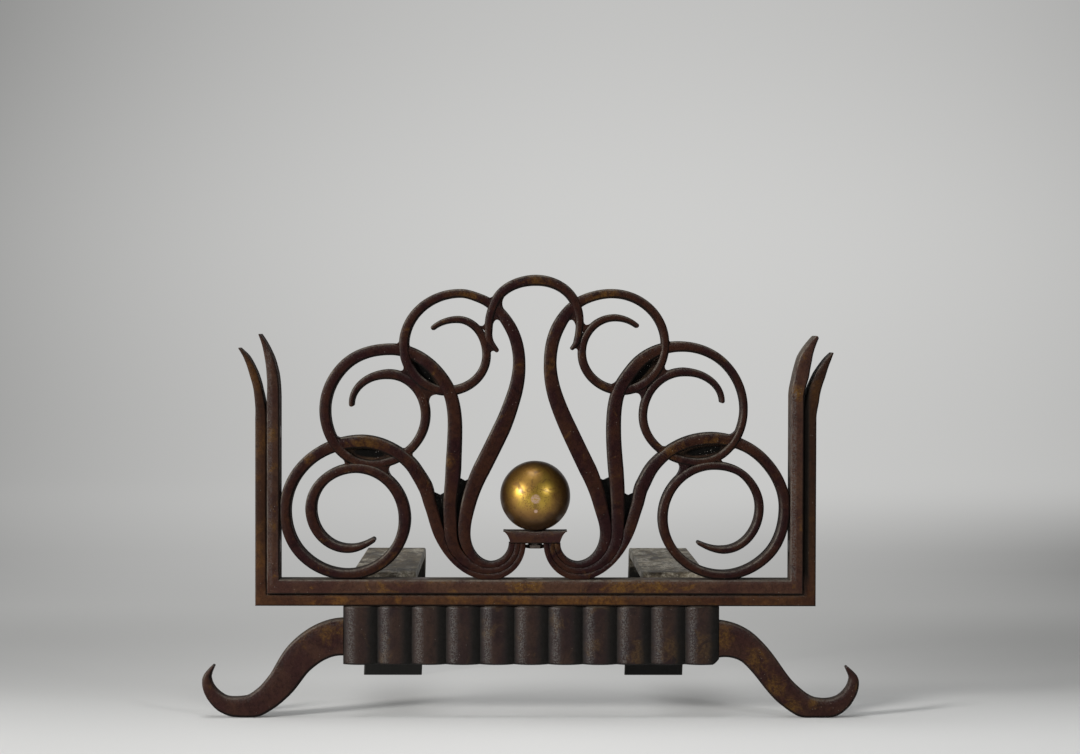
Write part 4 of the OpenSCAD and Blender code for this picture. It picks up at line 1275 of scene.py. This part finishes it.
# Knots: [x from the apron's end, z, heading, width]
left_leg_path = [
    (0, leg_at, 180, 34.5), (-40, 55.4, 225, 30.5), (-58.8, 29.7, 228, 26.4),
    (-71.6, 17.4, 216, 23.6), (-90, 9.1, 180, 21), (-114, 14.8, 141, 14.7),
    (-125.6, 35, 90, 8.4), (-119.8, 47.2, 55, 2.5)
]
right_leg_path = [
    (0, leg_at - 1.8, 0, 34.4), (30, 61.5, -42, 26.4), (43.9, 45.9, -53, 25),
    (64, 21.7, -41, 23.3), (92, 7.3, 0, 21), (118, 17.7, 50, 13.5), (125, 34.6, 92, 9),
    (118.5, 46.3, 125, 2.5)
]


def above_floor(z, soft=2.5):
    """Cuts a height off at the floor, with a worn transition."""
    if abs(z) >= soft:
        return max(z, 0)
    return (z + soft) ** 2 / (4 * soft)


def make_legs():
    for name, path, end in (("left_leg", left_leg_path, apron.x0),
                            ("right_leg", right_leg_path, apron.x1)):
        leg = Place(name)
        line = stations(path)
        for s in line:
            for edge in (s.left, s.right):
                edge.x = min(max(edge.x + end, leg.x0), leg.x1)
                edge.y = above_floor(edge.y)
        mesh = swept(name + "_forged", line, leg.y0, leg.y0 + leg_depth, radius=3)
        piece(name + "_forged", mesh, leg_iron, "apron_iron", name)


make_legs()


# ---- Log bars ----

def make_log_bar(name):
    """Strap bent down at both ends: tab on the apron, top, and rear leg that leans a little."""
    bar = Place(name)
    thick = 9
    bend = 11 - thick / 2               # radius of the bends' middle line
    lean = 4                            # sideways lean of the rear leg
    tab_low = 60
    leg_top = bar.z1 - 15
    front, back, top = bar.y0 + thick / 2, bar.y1 - thick / 2, bar.z1 - thick / 2
    path = [(front, tab_low, 90, thick), (front, top - bend, 90, thick),
            (front + bend, top, 0, thick), (back - bend, top, 0, thick),
            (back, top - bend, 270, thick), (back, 0, 270, thick)]
    line = stations(path, step=2.5, round_end=False)
    mesh = swept(name + "_strap", line, bar.x0 + lean, bar.x1, radius=1.6, plane="yz")
    for v in mesh.vertices:
        if v.co.y > bar.mid_y * MM and v.co.z < leg_top * MM:
            v.co.x -= lean * MM * (1 - v.co.z / (leg_top * MM))
    piece(name + "_strap", mesh, strap_iron, "log_bar_iron", name)


make_log_bar("left_log_bar")
make_log_bar("right_log_bar")


# ---- Fastener heads by Geometry Nodes ----

BACK, UP, DOWN = Vector((0, 1, 0)), Vector((0, 0, 1)), Vector((0, 0, -1))


def outward(middle):
    """Away from the screen's middle, to the left or the right."""
    return Vector((copysign(1, middle.x), 0, 0))


def make_heads(node, finish, ways):
    """Slightly domed heads in place of flush fasteners, whose shanks are hidden. ways gives the
    directions in which the ends of a solid show."""
    spots, turned, radius = head_spots(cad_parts[node], ways)
    points = bpy.data.meshes.new(node + "_spots")
    points.from_pydata(spots, [], [])
    points.attributes.new("way", "FLOAT_VECTOR", "POINT").data.foreach_set(
        "vector", [c for way in turned for c in way])
    g = Geometry(node + "_heads", {"Radius": radius, "Rise": 0.6 * FLUSH * MM, "Sunk": 2 * MM})
    disc = g.add("GeometryNodeMeshCylinder", Radius=g.size("Radius"), Depth=g.size("Sunk"),
                 Vertices=28, Side_Segments=1, Fill_Segments=4)
    x, y, z = g.position()
    out = g.over(g.math("SQRT", g.plus(g.times(x, x), g.times(y, y))), g.size("Radius"))
    drop = g.times(g.math("GREATER_THAN", z, 0.0), out, out, g.size("Rise"))
    lowered = g.minus(z, g.plus(drop, g.times(g.size("Sunk"), 0.5)))
    domed = g.add("GeometryNodeSetPosition", Geometry=disc.outputs["Mesh"],
                  Position=g.join(x, y, lowered))
    way = g.add("GeometryNodeInputNamedAttribute", Name="way")
    way.data_type = "FLOAT_VECTOR"
    facing = g.add("FunctionNodeAlignRotationToVector", Vector=way.outputs[0])
    facing.axis = "Z"
    placed_heads = g.add("GeometryNodeInstanceOnPoints", Points=g.input.outputs[0],
                         Instance=domed.outputs[0], Rotation=facing.outputs[0])
    g.finish(placed_heads.outputs[0], finish)
    obj = g.made(node + "_heads", points)
    tidy_mesh(obj.data)
    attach(obj, BODY)
    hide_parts(node)


def head_spots(obj, ways):
    """Middles of the solids' ends that show, their directions, and the heads' radius."""
    bm = bmesh.new()
    bm.from_mesh(obj.data)
    bmesh.ops.remove_doubles(bm, verts=bm.verts, dist=1e-6)
    spots, turned, radius, seen = [], [], 0, set()
    for v in bm.verts:
        if v in seen:
            continue
        group, queue = [], [v]
        seen.add(v)
        while queue:
            w = queue.pop()
            group.append(w.co.copy())
            for e in w.link_edges:
                o = e.other_vert(w)
                if o not in seen:
                    seen.add(o)
                    queue.append(o)
        for way in ways(sum(group, Vector()) / len(group)):
            far = max(p @ way for p in group)
            end = [p for p in group if p @ way > far - 1e-5]
            middle = sum(end, Vector()) / len(end)
            spots.append(middle)
            turned.append(way)
            radius = max(radius, max((p - middle).length for p in end))
    bm.free()
    return spots, turned, radius


make_heads("frame_screws", frame_iron, lambda middle: [UP])
make_heads("scroll_screws", outer_iron, lambda middle: [DOWN])
make_heads("post_rivets", outer_iron,
           lambda middle: [outward(middle), -outward(middle)])
make_heads("ring_rivets", outer_iron, lambda middle: [outward(middle)])
make_heads("lap_pins", scroll_iron, lambda middle: [BACK])
make_heads("leg_pins", apron_iron, lambda middle: [BACK])


# ---- Small CAD pieces that keep their shape ----

KEPT_NODES = (
    (recess_iron, ("left_inner_web", "left_outer_web", "right_inner_web", "right_outer_web")),
    (pocket, ("left_upper_lens_web", "left_lower_lens_web", "right_upper_lens_web",
              "right_lower_lens_web")),
    (fastener_steel, ("ball_stud", "stud_washer", "stud_nut", "log_bar_bolts")),
)
for finish, names in KEPT_NODES:
    for name in names:
        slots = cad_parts[name].data.materials
        slots.clear()
        slots.append(finish)


# ---- Floor, light and camera ----

KEY_AT = (-1350, -1000)     # where the key lamp lights the floor most, in millimetres


def painted_glow(m, x, y, z, out):
    """The paper's glow, painted light: paler upwards, darker at the top, towards the sides and in
    the lower corners."""
    rise = m.span(z, -0.02, 0.12)
    high = m.times(m.math("POWER", m.math("ABSOLUTE", m.plus(x, -0.25)), 2.0), rise, 0.165)
    low = m.times(m.math("POWER", m.math("ABSOLUTE", m.plus(x, 0.1)), 2.0),
                  m.minus(1.0, rise), 0.25)
    side = m.math("MINIMUM", m.plus(high, low), 0.30)
    corner = m.times(m.span(out, 0.1, 0.6, 0.0, 0.11), m.span(y, 0.35, 0.8, 1.0, 0.0))
    pale = m.plus(m.span(z, -0.03, 0.1, 0.45, 0.58), m.span(z, 0.1, 0.5, 0.0, 0.035),
                  m.span(y, 0.1, 1.1, 0.10, 0.0))
    grey = m.minus(m.minus(m.minus(pale, m.span(z, 0.5, 1.1, 0.0, 0.09)), side), corner)
    # the paper ends outside the picture, so that metal doesn't mirror an endless pale wall
    paper_end = m.times(m.most(m.span(z, 0.02, 0.2, 1.0, 0.0), m.span(out, 1.05, 1.6, 1.0, 0.05)),
                        m.span(z, 1.1, 1.7, 1.0, 0.05))
    return m.times(grey, paper_end)


def lit_paper(m, x, y, in_view):
    """The paper's colour where lamps light it. Before the key lamp, outside the picture, the
    floor would clip to white, so there the camera sees it darker."""
    # painted light and shade on the floor: paler in front, darker further back and towards the
    # left, near the key lamp
    colour = m.mix(m.span(y, -0.30, 0.30), (0.92, 0.925, 0.92), (0.40, 0.403, 0.395))
    colour = m.mix(m.span(x, -0.5, 0.1, 0.5, 0.0), colour, (0.48, 0.483, 0.48))
    from_key = m.from_point(KEY_AT[0], KEY_AT[1], 0)
    too_bright = m.times(in_view, m.span(from_key, 0.15, 1.12, 0.68, 0.0))
    return m.mix(too_bright, colour, (0.0, 0.0, 0.0))


def glow_share(m, y, out):
    """How much of the painted glow the paper shows: little near the object, all further back, and
    a little more beneath the object, which lightens its shadow there.
    """
    share_back = m.plus(m.span(y, -0.06, 0.14, 0.06, 0.62), m.span(y, 0.4, 1.25, 0.0, 0.38))
    beneath = m.times(m.span(out, 0.15, 0.4, 0.18, 0.0), m.span(y, -0.2, -0.05),
                      m.span(y, 0.1, 0.4, 1.0, 0.0))
    return m.plus(share_back, beneath)


def blended(m, amount, a, b):
    """Mixes two shaders."""
    node = m.new("ShaderNodeMixShader")
    for socket, value in zip(node.inputs, (amount, a, b)):
        m.link(value, socket)
    return node.outputs[0]


def pale_paper():
    """Near the object the paper is lit, so that it keeps the shadows. Further back it shows a
    painted glow. Seen from behind it is left out."""
    m = Finish("pale_sweep")
    x, y, z = m.axis("X"), m.axis("Y"), m.axis("Z")
    out = m.math("ABSOLUTE", x)
    rays = m.new("ShaderNodeLightPath").outputs
    glow = m.new("ShaderNodeEmission")
    m.link(m.mix(painted_glow(m, x, y, z, out), (0.0, 0.0, 0.0), (1.0, 1.0, 0.985)),
           glow.inputs["Color"])
    m.shade(Base_Color=lit_paper(m, x, y, rays["Is Camera Ray"]), Roughness=0.8,
            Specular_IOR_Level=0.2)
    seen = m.most(rays["Is Camera Ray"], rays["Is Glossy Ray"], rays["Is Transmission Ray"])
    front = blended(m, m.times(seen, glow_share(m, y, out)), m.shader.outputs[0], glow.outputs[0])
    from_behind = m.new("ShaderNodeNewGeometry").outputs["Backfacing"]
    surface = blended(m, from_behind, front, m.new("ShaderNodeBsdfTransparent").outputs[0])
    m.link(surface, m.tree.nodes["Material Output"].inputs["Surface"])
    return m.material


def make_stage():
    """Paper sweep, in metres: floor, bend and wall."""
    half_width, floor_front, wall_top = 5.0, -4.0, 4.5
    bend_y, bend_r = 1.2, 0.9
    profile = [(floor_front, 0.0), (bend_y, 0.0)]
    for a in range(10, 91, 10):
        profile.append((bend_y + bend_r * sin(radians(a)), bend_r * (1 - cos(radians(a)))))
    profile.append((bend_y + bend_r, wall_top))
    verts = [(x, y, z) for y, z in profile for x in (-half_width, half_width)]
    faces = [(2 * i, 2 * i + 1, 2 * i + 3, 2 * i + 2) for i in range(len(profile) - 1)]
    mesh = bpy.data.meshes.new("studio_sweep")
    mesh.from_pydata(verts, [], faces)
    mesh.shade_smooth()
    mesh.materials.append(pale_paper())
    sweep = bpy.data.objects.new("studio_sweep", mesh)
    bpy.context.scene.collection.objects.link(sweep)


def lamp(name, place, target, size, power, colour=(1, 1, 1)):
    data = bpy.data.lights.new(name, "AREA")
    data.shape = "RECTANGLE"
    data.size, data.size_y = size
    data.energy = power
    data.color = colour
    obj = bpy.data.objects.new(name, data)
    obj.location = place
    obj.rotation_euler = (Vector(target) - Vector(place)).to_track_quat("-Z", "Y").to_euler()
    bpy.context.scene.collection.objects.link(obj)


def make_light():
    middle = (0, -0.1, 0.2)
    lamp("key_lamp", (-1.9, -1.6, 0.95), middle, (0.45, 0.45), 57, (1, 0.985, 0.96))
    lamp("fill_lamp", (1.35, -1.85, 0.95), middle, (0.28, 0.28), 9)
    lamp("top_lamp", (-0.3, -0.25, 2.3), middle, (1.1, 0.8), 17)
    world = bpy.data.worlds.new("studio_air")
    world.use_nodes = True
    air = world.node_tree.nodes["Background"].inputs
    air["Color"].default_value = (0.96, 0.98, 1.0, 1)
    air["Strength"].default_value = 0.11
    bpy.context.scene.world = world


def make_camera():
    """The photograph's camera: 1080 pixels span 0.988 m in the frame's front plane."""
    image_w, image_h = 1080, 754
    level_x, level_z = 510, 328         # pixel of the point straight before the camera
    left_of_screen = 25.6               # pixels from that point to the middle of the screen
    m_per_px = 0.9146 * MM
    distance, eye_height = 2.2, 0.3592
    roll = radians(0.13)
    data = bpy.data.cameras.new("photo_camera")
    data.sensor_width = 36
    data.lens = data.sensor_width * distance / (image_w * m_per_px)
    data.clip_end = 50
    obj = bpy.data.objects.new("photo_camera", data)
    obj.location = (screen_x * MM - left_of_screen * m_per_px, inner.y0 * MM - distance,
                    eye_height)
    yaw = atan2((image_w / 2 - level_x) * m_per_px, distance)
    pitch = atan2((image_h / 2 - level_z) * m_per_px, distance)
    turned = Euler((pi / 2 - pitch, 0, -yaw)).to_matrix() @ Matrix.Rotation(roll, 3, "Z")
    obj.rotation_euler = turned.to_euler()
    bpy.context.scene.collection.objects.link(obj)
    bpy.context.scene.camera = obj


make_stage()
make_light()
make_camera()
bpy.context.scene.view_settings.view_transform = "Standard"
